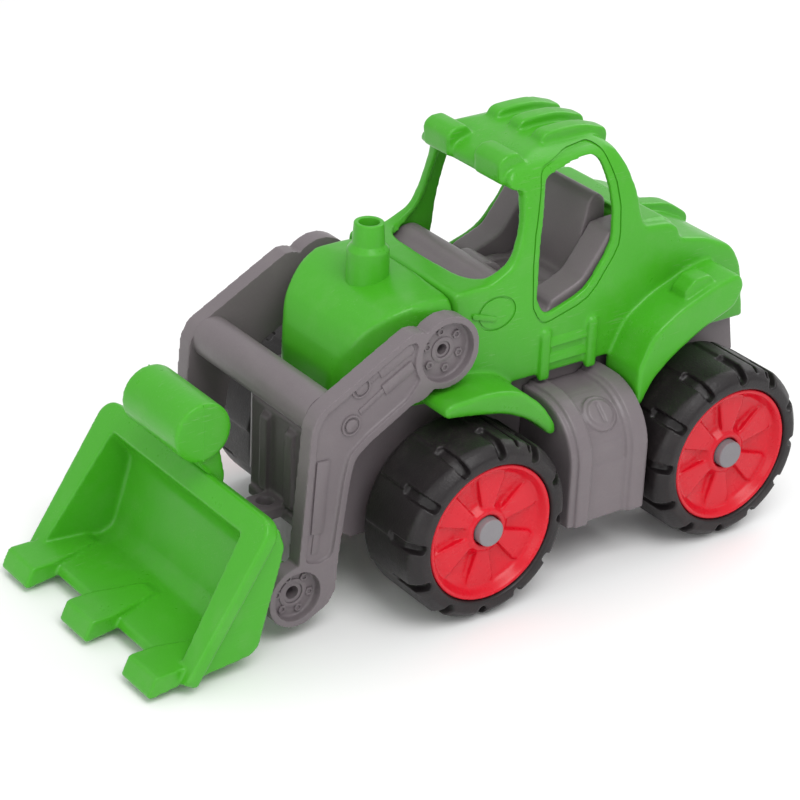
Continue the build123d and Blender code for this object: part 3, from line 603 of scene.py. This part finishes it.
def make_arm():
    """Left arm: cranked plate with a raised border, ram shapes on its panel and a hub at each end."""
    arm = prism("arm", ARM_OUTLINE, "side", ARM_IN, ARM_OUT)
    for name, centre, radius in (("lift_boss", LIFT, 16.0), ("tilt_boss", TILT, 14.0)):
        combine(arm, prism(name, circle(*centre, radius, 72), "side", ARM_IN, ARM_OUT), "UNION")
    panel = prism("panel", PANEL, "side", PANEL_OUT, 60)
    for centre, radius in ((LIFT, 16.2), (TILT, 14.2)):
        combine(panel, prism("rim_kept", circle(*centre, radius, 72), "side", 30, 70))
    combine(arm, panel)
    for centre, radius in ((LIFT, 13.0), (TILT, 11.0)):
        combine(arm, prism("hub_sink", circle(*centre, radius, 72), "side", HUB_FLOOR, 60))
    round_over(arm, 0.5, 2, 0.5)
    for centre, radius in ((LIFT, 3.7), (TILT, 4.7)):
        combine(arm, prism("bore", circle(*centre, radius), "side", 30, 60))
    barrels_and_rods = [
        slab(23.6, 121.0, 39.6, 112.6, 5.4, 0), slab(38.5, 113.4, 44.6, 110.0, 3.0, 0),
        slab(22.8, 112.0, 37.0, 104.4, 5.0, 0), slab(36.0, 105.0, 48.4, 97.2, 2.6, 0),
        slab(65.6, 80.0, 67.6, 47.0, 6.2, 0), slab(67.3, 49.0, 68.6, 37.6, 3.4, 0),
    ]
    reliefs = [
        prism("ram", outline, "side", PANEL_OUT - 1, PANEL_OUT + (0.85, 0.5)[k % 2])
        for k, outline in enumerate(barrels_and_rods)
    ]
    for centre in ((48.2, 108.4), (52.4, 92.5)):
        stud = prism("stud", circle(*centre, 4.6), "side", PANEL_OUT - 1, PANEL_OUT + 0.8)
        combine(stud, prism("stud_line", circle(*centre, 3.7), "side", PANEL_OUT + 0.1, 60))
        reliefs += [stud, prism("stud_top", circle(*centre, 2.8), "side", PANEL_OUT - 0.5, PANEL_OUT + 0.9)]
    reliefs += hub_fittings(LIFT, 3.7, 8.6, 20) + hub_fittings(TILT, 4.7, 8.1, 10)
    for block in reliefs:
        soften(block)
    merge(arm, *reliefs)
    only(arm)
    bpy.ops.object.shade_smooth_by_angle(angle=math.radians(40))
    return arm


# ---------------------------------------------------------------------------
# Side tanks and front plate
# ---------------------------------------------------------------------------

TANK_CENTRE = (45.6, 53.4)
TANK_R = 27.0


def tank_section(shrink, low=25.0):
    """Front view of a tank: arched shoulder of this much less radius, straight side down to low."""
    out = TANK_CENTRE[0] + TANK_R - shrink
    top = TANK_CENTRE[1] + TANK_R - shrink
    arc = [(out, low, 0)]
    for step in range(13):
        turn = math.radians(90 * step / 12)
        arc.append((
            TANK_CENTRE[0] + (TANK_R - shrink) * math.cos(turn),
            TANK_CENTRE[1] + (TANK_R - shrink) * math.sin(turn),
            0,
        ))
    return arc + [(34.2, top, 0), (34.2, low, 0)]


def make_tank():
    """Left tank: two broad stepped straps over an arched box, and a slotted filler cap."""
    tank = prism("tank", tank_section(3.2), "front", -88.4, -47.4)
    combine(tank, prism("tank_lower", tank_section(4.0), "front", -78.6, -57.6), "UNION")
    straps = [
        prism("strap_rear", tank_section(0.0), "front", -88.2, -79.6),
        prism("strap_rear_step", tank_section(1.5), "front", -80.5, -77.4),
        prism("strap_front", tank_section(0.0), "front", -57.6, -50.2),
        prism("strap_front_step", tank_section(1.5), "front", -51, -47.0),
    ]
    for strap in straps:
        round_over(strap, 0.7, 5)
    skirt_end = [(66.5, 25.2, 0), (70.0, 25.2, 0), (70.0, 51, 0.5), (66.5, 53, 0)]
    skirt = prism("skirt", skirt_end, "front", -79, -57)
    turn = math.radians(42)
    seat = FACING["front"](TANK_CENTRE[0], TANK_CENTRE[1], -68.2)
    section = [
        (0, 18, 0), (8.2, 18, 0), (8.2, 24.4, 0.8), (6.9, 24.4, 0.3), (6.7, 23.6, 0.3), (6.2, 25.4, 1.0),
        (0, 25.6, 0),
    ]
    spots = [FACING["front"](TANK_CENTRE[0], TANK_CENTRE[1] + b, -68.2 + a) for a, b in rounded(section, 20)]
    cap = spun("filler", spots, seat, (0.0, 0.0, 1.0), 72)
    slot_floor = 24.6 + TANK_CENTRE[1]
    key = [(-0.9, slot_floor, 0), (0.9, slot_floor, 0), (0.9, 90, 0), (-0.9, 90, 0)]
    key = prism("filler_slot", key, "side", TANK_CENTRE[0] - 5, TANK_CENTRE[0] + 5)
    edit(key)
    bpy.ops.transform.translate(value=(-68.2 * MM, 0.0, 0.0))
    done()
    combine(cap, key)
    edit(cap)
    bpy.ops.transform.rotate(value=turn, orient_axis="X", center_override=seat)
    done()
    merge(tank, skirt, cap, *straps)
    round_over(tank, 0.55, 2, 0.5)
    return tank


def make_front_plate():
    """Plate under the hood with upright ribs, a foot lip and the towing eye."""
    thickness = [(49.2, 29, 0), (49.2, 76, 2), (53.4, 76, 2), (53.4, 29, 0)]
    plate = prism("front_plate", thickness, "side", -22.6, 22.6)
    rib = [(52, 34, 0), (52, 74, 0), (56.2, 71.5, 2), (56.2, 37, 2)]
    blocks = [prism("rib", rib, "side", near, near + 5.6) for near in (6.7, -12.3)]
    foot = [(50, 29.2, 0), (50, 34.2, 0), (56, 34.2, 1), (56, 29.2, 1)]
    blocks.append(prism("foot", foot, "side", -20.8, 20.8))
    eye = [(50, -7.3, 0), (60.5, -7.3, 7), (68.0, -7.3, 7), (68.0, 7.3, 7), (60.5, 7.3, 0), (50, 7.3, 0)]
    blocks.append(prism("eye", eye, "top", 31.1, 36.9))
    merge(plate, *blocks)
    round_over(plate, 0.7, 3)
    combine(plate, prism("eye_hole", circle(60.5, 0, 4.0), "top", 20, 50))
    only(plate)
    bpy.ops.object.shade_smooth()
    return plate


# ---------------------------------------------------------------------------
# Bucket
# ---------------------------------------------------------------------------

BOWL = [
    (109, 66, 0), (105.4, 59.5, 0), (96, 47.5, 10), (105.8, 11.8, 9), (137.9, 9.3, 3), (160, 7.6, 0),
    (160, 66, 0),
]
BOWL_HALF_PLAN = [(84, 49.5, 0), (100, 49.5, 8), (138, 56, 8), (165, 56, 0)]
BACK = [
    (94.4, 64, 2), (91.2, 54, 5), (92.6, 47, 8), (98.6, 26, 10), (102.6, 10.8, 4), (106.5, 7.8, 3),
    (112.6, 7, 4),
    (133.6, 4.9, 0), (134, 14, 0), (104, 58, 0),
]
TOOTH = [
    (110, 9.6, 0), (118, 12.4, 3), (150.6, 11.5, 1.5), (154.4, 3.6, 1.2), (153.2, 2.4, 1.2), (137, 4.7, 3),
    (110, 8.4, 0),
]
TOOTH_HALF = 10.7
TEETH = (-49.8, 0.0, 49.8)


def bowl_block(name, grow, passes):
    """The room inside the bowl, grown to the outside of its wall; it runs out past the mouth."""
    room = prism(name, BOWL, "side", -90, 90)
    plan = BOWL_HALF_PLAN + [(a, -b, r) for a, b, r in reversed(BOWL_HALF_PLAN)]
    combine(room, prism("bowl_plan", plan, "top", -5, 90), "INTERSECT")
    round_over(room, 1.0, passes)
    if grow:
        swell(room, grow)
    return room


def make_bucket_front():
    """Scoop with a broad flange round its mouth and three digging teeth."""
    front = bowl_block("bucket_front", 2.4, 6)
    mouth = FACING["mouth"](0, 0, 0)
    out = FACING["mouth"](0, 0, 1000) - mouth
    edit(front)
    bpy.ops.mesh.bisect(plane_co=mouth, plane_no=out, clear_outer=True, use_fill=True)
    done()
    flange = [(-11, -65.4, 9), (-11, 65.4, 9), (63.6, 65.4, 3), (63.6, -65.4, 3)]
    rim = prism("flange", flange, "mouth", -6.4, 0)
    teeth = []
    for across in TEETH:
        tooth = prism("tooth", TOOTH, "side", across - TOOTH_HALF, across + TOOTH_HALF)
        taper = [
            (112, across - 3.5, 0), (139, across - TOOTH_HALF, 14), (156, across - TOOTH_HALF, 1.5),
            (156, across + TOOTH_HALF, 1.5), (139, across + TOOTH_HALF, 14), (112, across + 3.5, 0),
        ]
        combine(tooth, prism("tooth_plan", taper, "top", -5, 40), "INTERSECT")
        teeth.append(tooth)
    merge(front, rim)
    round_over(front, 0.8, 2)
    combine(front, bowl_block("bowl_room", 0, 2))
    merge(front, *teeth)
    round_over(front, 0.72, 4, 0.45)
    return front


def make_bucket_back():
    """Rear shell of the bucket with the two ears that hang on the arms."""
    back = prism("bucket_back", BACK, "side", -61.2, 61.2)
    ear = [(71.8, 28.6, 2), (95, 40, 0), (104, 38, 0), (110, 16, 0), (77, 11.2, 0), (70, 13, 4)]
    for near in (36.2, -41.8):
        plate = prism("ear", ear, "side", near, near + 5.6)
        combine(plate, prism("ear_round", circle(*TILT, 9.5), "side", near, near + 5.6), "UNION")
        combine(plate, prism("ear_trim", [(60, 30, 0), (82, 34, 0), (60, 60, 0)], "side", near - 2, near + 8))
        merge(back, plate)
    round_over(back, 0.8, 4)
    combine(back, bowl_block("bowl_wall", 1.3, 6))
    apply(back, "DECIMATE", ratio=0.5)
    for near in (34.0, -44.0):
        combine(back, prism("ear_bore", circle(*TILT, 4.7), "side", near, near + 10))
    only(back)
    bpy.ops.object.shade_smooth()
    return back


def make_grip():
    """Roller-shaped hand grip on a neck that stands on the bucket's top edge."""
    grip = prism("grip", circle(104.7, 90.5, 13.1, 96), "side", -21.4, 21.4)
    round_over(grip, 0.7, 6)
    neck = [
        (92.2, 60.4, 0), (91.4, 66, 4), (95.6, 88, 0), (110, 86, 0), (103.4, 74, 5), (98.8, 67.6, 1),
        (94.6, 62.6, 0),
    ]
    merge(grip, prism("grip_neck", neck, "side", -16.6, 16.6))
    round_over(grip, 0.7, 3, 0.6)
    seam = prism("grip_seam", slab(104.7, 77.7, 104.7, 103.3, 0.5, 0.1), "side", -21.45, 21.45)
    soften(seam, 0.1)
    merge(grip, seam)
    return grip


# ---------------------------------------------------------------------------
# Wheels
# ---------------------------------------------------------------------------

LUGS = 12
LUG_STEP = 360.0 / LUGS
FIRST_LUG = 4.4
LUG_DROP = 1.05
SPOKES = 6
FIRST_SPOKE = 34.0
CAP_R = 6.2
WHEELBASE = AHEAD - sum(corner.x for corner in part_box("rear_axle")) / 2 / MM

# Half sections of revolution: (to the left, out from the axle, corner radius)
TYRE_SECTION = [
    (39.0, 30.2, 0.5), (39.0, 35.6, 3), (43.2, 39.8, 1), (44.4, 40.0, 0.3), (45.4, 42.4, 0),
    (69.8, 42.4, 2), (76.3, 39.3, 3), (79.4, 36.2, 2), (79.4, 31.9, 0.6), (78.2, 31.2, 0.3),
    (75.9, 31.2, 0), (75.9, 30.2, 0),
]
RIM_SECTION = [
    (39.2, 3.2, 0), (39.2, 9.4, 0.5), (67.6, 10.2, 1), (67.6, 27.4, 1), (39.4, 27.6, 0.3), (39.4, 29.9, 0.3),
    (76.1, 29.9, 0), (76.1, 31.0, 0.2), (78.3, 31.0, 0.8), (78.3, 29.4, 0.8), (76.6, 28.4, 1.5),
    (73.4, 26.6, 3.0), (72.2, 22.0, 6.0), (71.4, 12.6, 3.0), (74.6, 9.8, 1.2), (75.7, 9.0, 0.6),
    (75.7, 6.9, 0.5), (72.2, 6.9, 0), (72.2, 3.2, 0),
]
CAP_SECTION = [(72.5, 0.0, 0), (72.5, CAP_R, 0), (78.5, CAP_R, 0.7), (78.5, 0.0, 0)]


def spun(name, spots, centre, axis, steps=144):
    """A solid of revolution, spun from its half section."""
    piece = draw(name, spots)
    edit(piece)
    bpy.ops.mesh.spin(steps=steps, angle=math.tau, center=centre, axis=axis)
    bpy.ops.mesh.select_all(action="SELECT")
    bpy.ops.mesh.remove_doubles(threshold=0.002 * MM)
    bpy.ops.mesh.delete_loose()
    bpy.ops.mesh.select_all(action="SELECT")
    bpy.ops.mesh.dissolve_degenerate(threshold=0.002 * MM)
    bpy.ops.mesh.select_all(action="SELECT")
    bpy.ops.mesh.normals_make_consistent(inside=False)
    done()
    return piece


def wheel_part(name, section, steps=144):
    """A part of the front left wheel, spun about its axle."""
    place = FACING["front"]
    spots = [place(a, AXLE_UP + b, 0) for a, b in rounded(section, 20)]
    return spun(name, spots, place(0, AXLE_UP, 0), (0.0, 1.0, 0.0), steps)


def spread_round(piece, count, first):
    """Copies a block that points ahead of the axle round it."""
    hub = FACING["front"](0, AXLE_UP, 0)
    copies = []
    for k in range(count):
        twin = copy_of(piece, f"{piece.name}_{k}")
        edit(twin)
        turn = math.radians(first + 360 * k / count)
        bpy.ops.transform.rotate(value=turn, orient_axis="Y", center_override=hub)
        done()
        copies.append(twin)
    bpy.data.objects.remove(piece, do_unlink=True)
    return copies


def tread_outline():
    """Side view of the lugs: each one falls away from its leading edge to its trailing edge."""
    outline = []
    for lug in range(LUGS):
        for step in range(9):
            turn = math.radians(FIRST_LUG + LUG_STEP * (lug + step / 8.05))
            reach = 40.96 - LUG_DROP * step / 8
            outline.append((reach * math.cos(turn), AXLE_UP + reach * math.sin(turn), 0))
    return outline


def make_tyre():
    tyre = wheel_part("tyre", TYRE_SECTION)
    combine(tyre, prism("lug_faces", tread_outline(), "side", 30, 90), "INTERSECT")
    depth = [(61.5, 46, 0), (61.5, 38.6, 1.5), (70, 38.3, 6), (76.2, 33.8, 2), (82, 33.8, 0), (82, 46, 0)]
    face = [
        (33.9, AXLE_UP - 2.3, 2.25), (46, AXLE_UP - 2.3, 0),
        (46, AXLE_UP + 2.3, 0), (33.9, AXLE_UP + 2.3, 2.25),
    ]
    slot = prism("slot", face, "side", 61.5, 82)
    combine(slot, prism("slot_depth", [(b, a, r) for a, b, r in depth], "top", 30, 52), "INTERSECT")
    round_over(tyre, 0.6, 1)
    slots = spread_round(slot, LUGS, FIRST_LUG)
    merge(*slots)
    combine(tyre, slots[0])
    round_over(tyre, 0.6, 2, 0.45)
    return tyre


def make_rim():
    rim = wheel_part("rim", RIM_SECTION)
    petal = [
        (8.5, AXLE_UP - 2.6, 0), (24.6, AXLE_UP - 7.2, 3), (27.8, AXLE_UP - 4, 4), (27.8, AXLE_UP + 4, 4),
        (24.6, AXLE_UP + 7.2, 3), (8.5, AXLE_UP + 2.6, 0),
    ]
    spoke = prism("spoke", petal, "side", 69.5, 75)
    slope = [(8, 69, 0), (8, 74.7, 0), (28.5, 74.4, 0), (28.5, 69, 0)]
    combine(spoke, prism("spoke_slope", slope, "top", 30, 52), "INTERSECT")
    merge(rim, *spread_round(spoke, SPOKES, FIRST_SPOKE))
    round_over(rim, 0.55, 5, 0.4)
    return rim


def make_cap():
    cap = wheel_part("cap", CAP_SECTION, 64)
    only(cap)
    bpy.ops.object.shade_smooth_by_angle(angle=math.radians(35))
    return cap


def fit_wheels():
    """One wheel is modelled at the front left; the other three are copies of it."""
    parts = (
        (make_tyre(), "tyre", "tyre_black", tyre_black, "wheel_{}"),
        (make_rim(), "rim", "rim_red", glossy_red, "wheel_{}"),
        (make_cap(), "hub_cap", "cap_grey", cap_grey, "chassis"),
    )
    for piece, part, finish, material, body in parts:
        rear = copy_of(piece, f"{part}_rear")
        edit(rear)
        bpy.ops.transform.translate(value=(-WHEELBASE * MM, 0.0, 0.0))
        done()
        for end, left in (("front", piece), ("rear", rear)):
            right = mirrored(left, f"{part}_{end}_right_skin")
            left.name = f"{part}_{end}_left_skin"
            for hand, wheel in (("left", left), ("right", right)):
                spot = f"{end}_{hand}"
                finish_piece(wheel, body.format(spot), finish, material, f"{part}_{spot}")


# ---------------------------------------------------------------------------
# Finishes
# ---------------------------------------------------------------------------


def put(tree, kind, sockets, **settings):
    """Adds a node, sets its options and sets or links its inputs, given by name or number."""
    item = tree.nodes.new(kind)
    for name, value in settings.items():
        setattr(item, name, value)
    for name, value in sockets.items():
        if isinstance(value, bpy.types.NodeSocket):
            tree.links.new(value, item.inputs[name])
        else:
            item.inputs[name].default_value = value
    return item


def new_group(name, inputs, output):
    """Empty shader group with a vector input, number or colour inputs and one output."""
    group = bpy.data.node_groups.new(name, "ShaderNodeTree")
    group.interface.new_socket("Vector", in_out="INPUT", socket_type="NodeSocketVector")
    for title, kind, value in inputs:
        socket = group.interface.new_socket(title, in_out="INPUT", socket_type=f"NodeSocket{kind}")
        socket.default_value = value
    kind = "Color" if output == "Colour" else "Float"
    group.interface.new_socket(output, in_out="OUTPUT", socket_type=f"NodeSocket{kind}")
    given = group.nodes.new("NodeGroupInput").outputs
    result = group.nodes.new("NodeGroupOutput").inputs[output]
    return group, given, result


def noise(tree, vector, scale, detail, roughness=0.5):
    sockets = {"Vector": vector, "Scale": scale, "Detail": detail, "Roughness": roughness}
    return put(tree, "ShaderNodeTexNoise", sockets).outputs["Fac"]


def spread(tree, value, low, high, to_low, to_high):
    """Remaps a value from one range to another, kept inside it."""
    sockets = {"Value": value, "From Min": low, "From Max": high, "To Min": to_low, "To Max": to_high}
    return put(tree, "ShaderNodeMapRange", sockets).outputs["Result"]


def maths(tree, operation, a, b):
    return put(tree, "ShaderNodeMath", {0: a, 1: b}, operation=operation).outputs[0]


def blend(tree, amount, a, b):
    item = put(tree, "ShaderNodeMix", {0: amount, 6: a, 7: b}, data_type="RGBA")
    return item.outputs[2]


def stretched(tree, vector, scale, turn):
    """Coordinates squeezed along one direction, for scratches and brushing."""
    sockets = {"Vector": vector, "Rotation": turn, "Scale": scale}
    return put(tree, "ShaderNodeMapping", sockets).outputs["Vector"]


def scratch_lines(tree, vector, amount):
    """Sparse fine lines, in two directions, where a coarse noise allows them."""
    lines = []
    for turn in ((0.3, 0.5, 0.2), (1.1, -0.4, 0.9)):
        streaks = noise(tree, stretched(tree, vector, (1.0, 14.0, 14.0), turn), 95.0, 2.0)
        lines.append(spread(tree, streaks, 0.66, 0.70, 0.0, 1.0))
    patches = spread(tree, noise(tree, vector, 34.0, 2.0), 0.46, 0.62, 0.0, 1.0)
    both = maths(tree, "MAXIMUM", lines[0], lines[1])
    return maths(tree, "MULTIPLY", maths(tree, "MULTIPLY", both, patches), amount)


def colour_group():
    """Base colour that drifts a little, with fine speckle, pale dust and lighter scratches."""
    inputs = [
        ("Tint", "Color", (0.5, 0.5, 0.5, 1.0)),
        ("Dust Tint", "Color", (0.5, 0.47, 0.42, 1.0)),
        ("Drift", "Float", 0.06),
        ("Dust", "Float", 0.1),
        ("Scratches", "Float", 0.2),
    ]
    group, given, result = new_group("drifting_colour", inputs, "Colour")
    vector = given["Vector"]
    cloud = spread(group, noise(group, vector, 16.0, 3.0), 0.3, 0.7, -1.0, 1.0)
    speckle = spread(group, noise(group, vector, 900.0, 2.0), 0.3, 0.7, -0.35, 0.35)
    shift = maths(group, "MULTIPLY", maths(group, "ADD", cloud, speckle), given["Drift"])
    value = maths(group, "ADD", shift, 1.0)
    tinted = put(group, "ShaderNodeHueSaturation", {"Value": value, "Color": given["Tint"]})
    tinted = tinted.outputs["Color"]
    film = spread(group, noise(group, vector, 55.0, 6.0, 0.65), 0.5, 0.78, 0.0, 1.0)
    dusty = blend(group, maths(group, "MULTIPLY", film, given["Dust"]), tinted, given["Dust Tint"])
    lines = scratch_lines(group, vector, given["Scratches"])
    group.links.new(blend(group, lines, dusty, given["Dust Tint"]), result)
    return group


def roughness_group():
    """Roughness that varies with handling: smooth where rubbed, duller in smudges and scratches."""
    inputs = [("Base", "Float", 0.4), ("Spread", "Float", 0.1), ("Scratches", "Float", 0.2)]
    group, given, result = new_group("handled_roughness", inputs, "Roughness")
    vector = given["Vector"]
    smudge = spread(group, noise(group, vector, 42.0, 4.0, 0.6), 0.3, 0.7, -1.0, 1.0)
    fine = spread(group, noise(group, vector, 420.0, 2.0), 0.3, 0.7, -0.5, 0.5)
    change = maths(group, "MULTIPLY", maths(group, "ADD", smudge, fine), given["Spread"])
    dull = scratch_lines(group, vector, given["Scratches"])
    total = maths(group, "ADD", maths(group, "ADD", change, dull), given["Base"])
    group.links.new(maths(group, "MAXIMUM", total, 0.05), result)
    return group


def height_group():
    """Height of the moulded grain, slow waviness of the skin and shallow scratches."""
    inputs = [
        ("Grain Size", "Float", 1800.0),
        ("Grain", "Float", 0.5),
        ("Wave", "Float", 0.3),
        ("Scratches", "Float", 0.2),
    ]
    group, given, result = new_group("skin_height", inputs, "Height")
    vector = given["Vector"]
    fine = noise(group, vector, given["Grain Size"], 3.0)
    slow = noise(group, vector, 70.0, 2.0)
    grain = maths(group, "MULTIPLY", fine, given["Grain"])
    wave = maths(group, "MULTIPLY", slow, given["Wave"])
    cuts = scratch_lines(group, vector, given["Scratches"])
    group.links.new(maths(group, "SUBTRACT", maths(group, "ADD", grain, wave), cuts), result)
    return group


COLOUR_GROUP = colour_group()
ROUGHNESS_GROUP = roughness_group()
HEIGHT_GROUP = height_group()


def finish(name, tint, roughness, look):
    """Material built from the three shared groups; look gives their amounts and the shader's constants."""
    material = bpy.data.materials.new(name)
    material.use_nodes = True
    tree = material.node_tree
    shader = tree.nodes["Principled BSDF"]
    vector = put(tree, "ShaderNodeTexCoord", {}).outputs["Object"]
    if "brushed" in look:
        vector = stretched(tree, vector, look["brushed"], (0.0, 0.0, 0.0))
    amounts = {
        COLOUR_GROUP: {
            "Vector": vector, "Tint": (*tint, 1.0), "Dust Tint": (*look["dust_tint"], 1.0),
            "Drift": look["drift"], "Dust": look["dust"], "Scratches": look["scratches"],
        },
        ROUGHNESS_GROUP: {
            "Vector": vector, "Base": roughness, "Spread": look["spread"],
            "Scratches": look["scratches"] * 0.5,
        },
        HEIGHT_GROUP: {
            "Vector": vector, "Grain Size": look["grain_size"], "Grain": look["grain"],
            "Wave": look["wave"], "Scratches": look["scratches"],
        },
    }
    results = {}
    for group, sockets in amounts.items():
        item = tree.nodes.new("ShaderNodeGroup")
        item.node_tree = group
        for title, value in sockets.items():
            if isinstance(value, bpy.types.NodeSocket):
                tree.links.new(value, item.inputs[title])
            else:
                item.inputs[title].default_value = value
        results[group] = item.outputs[0]
    tree.links.new(results[COLOUR_GROUP], shader.inputs["Base Color"])
    tree.links.new(results[ROUGHNESS_GROUP], shader.inputs["Roughness"])
    sockets = {"Height": results[HEIGHT_GROUP], "Strength": look["bump"], "Distance": 0.0004}
    tree.links.new(put(tree, "ShaderNodeBump", sockets).outputs["Normal"], shader.inputs["Normal"])
    shader.inputs["Metallic"].default_value = look.get("metallic", 0.0)
    shader.inputs["Coat Weight"].default_value = look.get("coat", 0.0)
    shader.inputs["Coat Roughness"].default_value = 0.15
    shader.inputs["Specular IOR Level"].default_value = look.get("gloss", 0.35)
    return material


MOULDED = {
    "dust_tint": (0.5, 0.48, 0.42),
    "drift": 0.05,
    "dust": 0.05,
    "scratches": 0.1,
    "spread": 0.06,
    "grain_size": 1500.0,
    "grain": 0.5,
    "wave": 0.5,
    "bump": 0.22,
    "coat": 0.05,
}
DARK_MOULDED = {**MOULDED, "dust_tint": (0.3, 0.28, 0.27), "dust": 0.1}
POLISHED = {**MOULDED, "grain": 0.15, "coat": 0.06, "dust": 0.01, "gloss": 0.3}
GRAINY = {**MOULDED, "grain": 0.7}
RUBBERY = {
    **MOULDED,
    "dust_tint": (0.1, 0.085, 0.08),
    "drift": 0.14,
    "dust": 0.16,
    "scratches": 0.14,
    "spread": 0.08,
    "grain_size": 1100.0,
    "grain": 0.8,
    "bump": 0.4,
    "coat": 0.0,
}
METAL = {
    **MOULDED,
    "dust_tint": (0.3, 0.28, 0.25),
    "drift": 0.08,
    "dust": 0.12,
    "scratches": 0.3,
    "spread": 0.12,
    "grain_size": 700.0,
    "bump": 0.25,
    "coat": 0.0,
    "metallic": 1.0,
    "gloss": 0.5,
    "brushed": (1.0, 0.08, 1.0),
}

green = finish("moulded_green", (0.056, 0.365, 0.014), 0.34, MOULDED)
grey = finish("moulded_grey", (0.165, 0.142, 0.152), 0.38, DARK_MOULDED)
glossy_red = finish("glossy_red", (0.6, 0.005, 0.018), 0.28, POLISHED)
tyre_black = finish("tyre_black", (0.013, 0.0105, 0.0115), 0.42, RUBBERY)
cap_grey = finish("cap_grey", (0.21, 0.2, 0.215), 0.42, GRAINY)
steel = finish("steel", (0.52, 0.51, 0.5), 0.3, METAL)

NODE_FINISH = {
    "body_green": green,
    "frame_grey": grey,
    "rim_red": glossy_red,
    "tyre_black": tyre_black,
    "cap_grey": cap_grey,
    "axle_steel": steel,
    "screw_steel": steel,
}
for entry in frame["record"]["subparts"]:
    mesh = frame["nodes"][entry["node"]].data
    mesh.materials.clear()
    mesh.materials.append(NODE_FINISH[entry["material_slot"]])

fit_wheels()
finish_piece(make_hood(), "chassis", "body_green", green, "hood")
finish_piece(make_stack(), "chassis", "body_green", green, "exhaust_stack")
finish_piece(make_cab_body(), "chassis", "body_green", green, "cab_body")
finish_piece(make_tub(), "chassis", "frame_grey", grey, "cabin_tub")
finish_piece(make_seat(), "chassis", "frame_grey", grey, "seat")
finish_piece(make_front_plate(), "chassis", "frame_grey", grey, "front_plate")
finish_piece(make_bucket_front(), "bucket", "body_green", green, "bucket_front")
finish_piece(make_bucket_back(), "bucket", "body_green", green, "bucket_back")
finish_piece(make_grip(), "bucket", "body_green", green, "bucket_grip")
for maker, node, body in ((make_arm, "loader_arm", "loader_arms"), (make_tank, "side_tank", "chassis")):
    left = maker()
    right = mirrored(left, f"{node}_right_skin")
    left.name = f"{node}_left_skin"
    finish_piece(left, body, "frame_grey", grey, f"{node}_left")
    finish_piece(right, body, "frame_grey", grey, f"{node}_right")

deselect_all()
place_camera()
light_studio()
lay_floor()
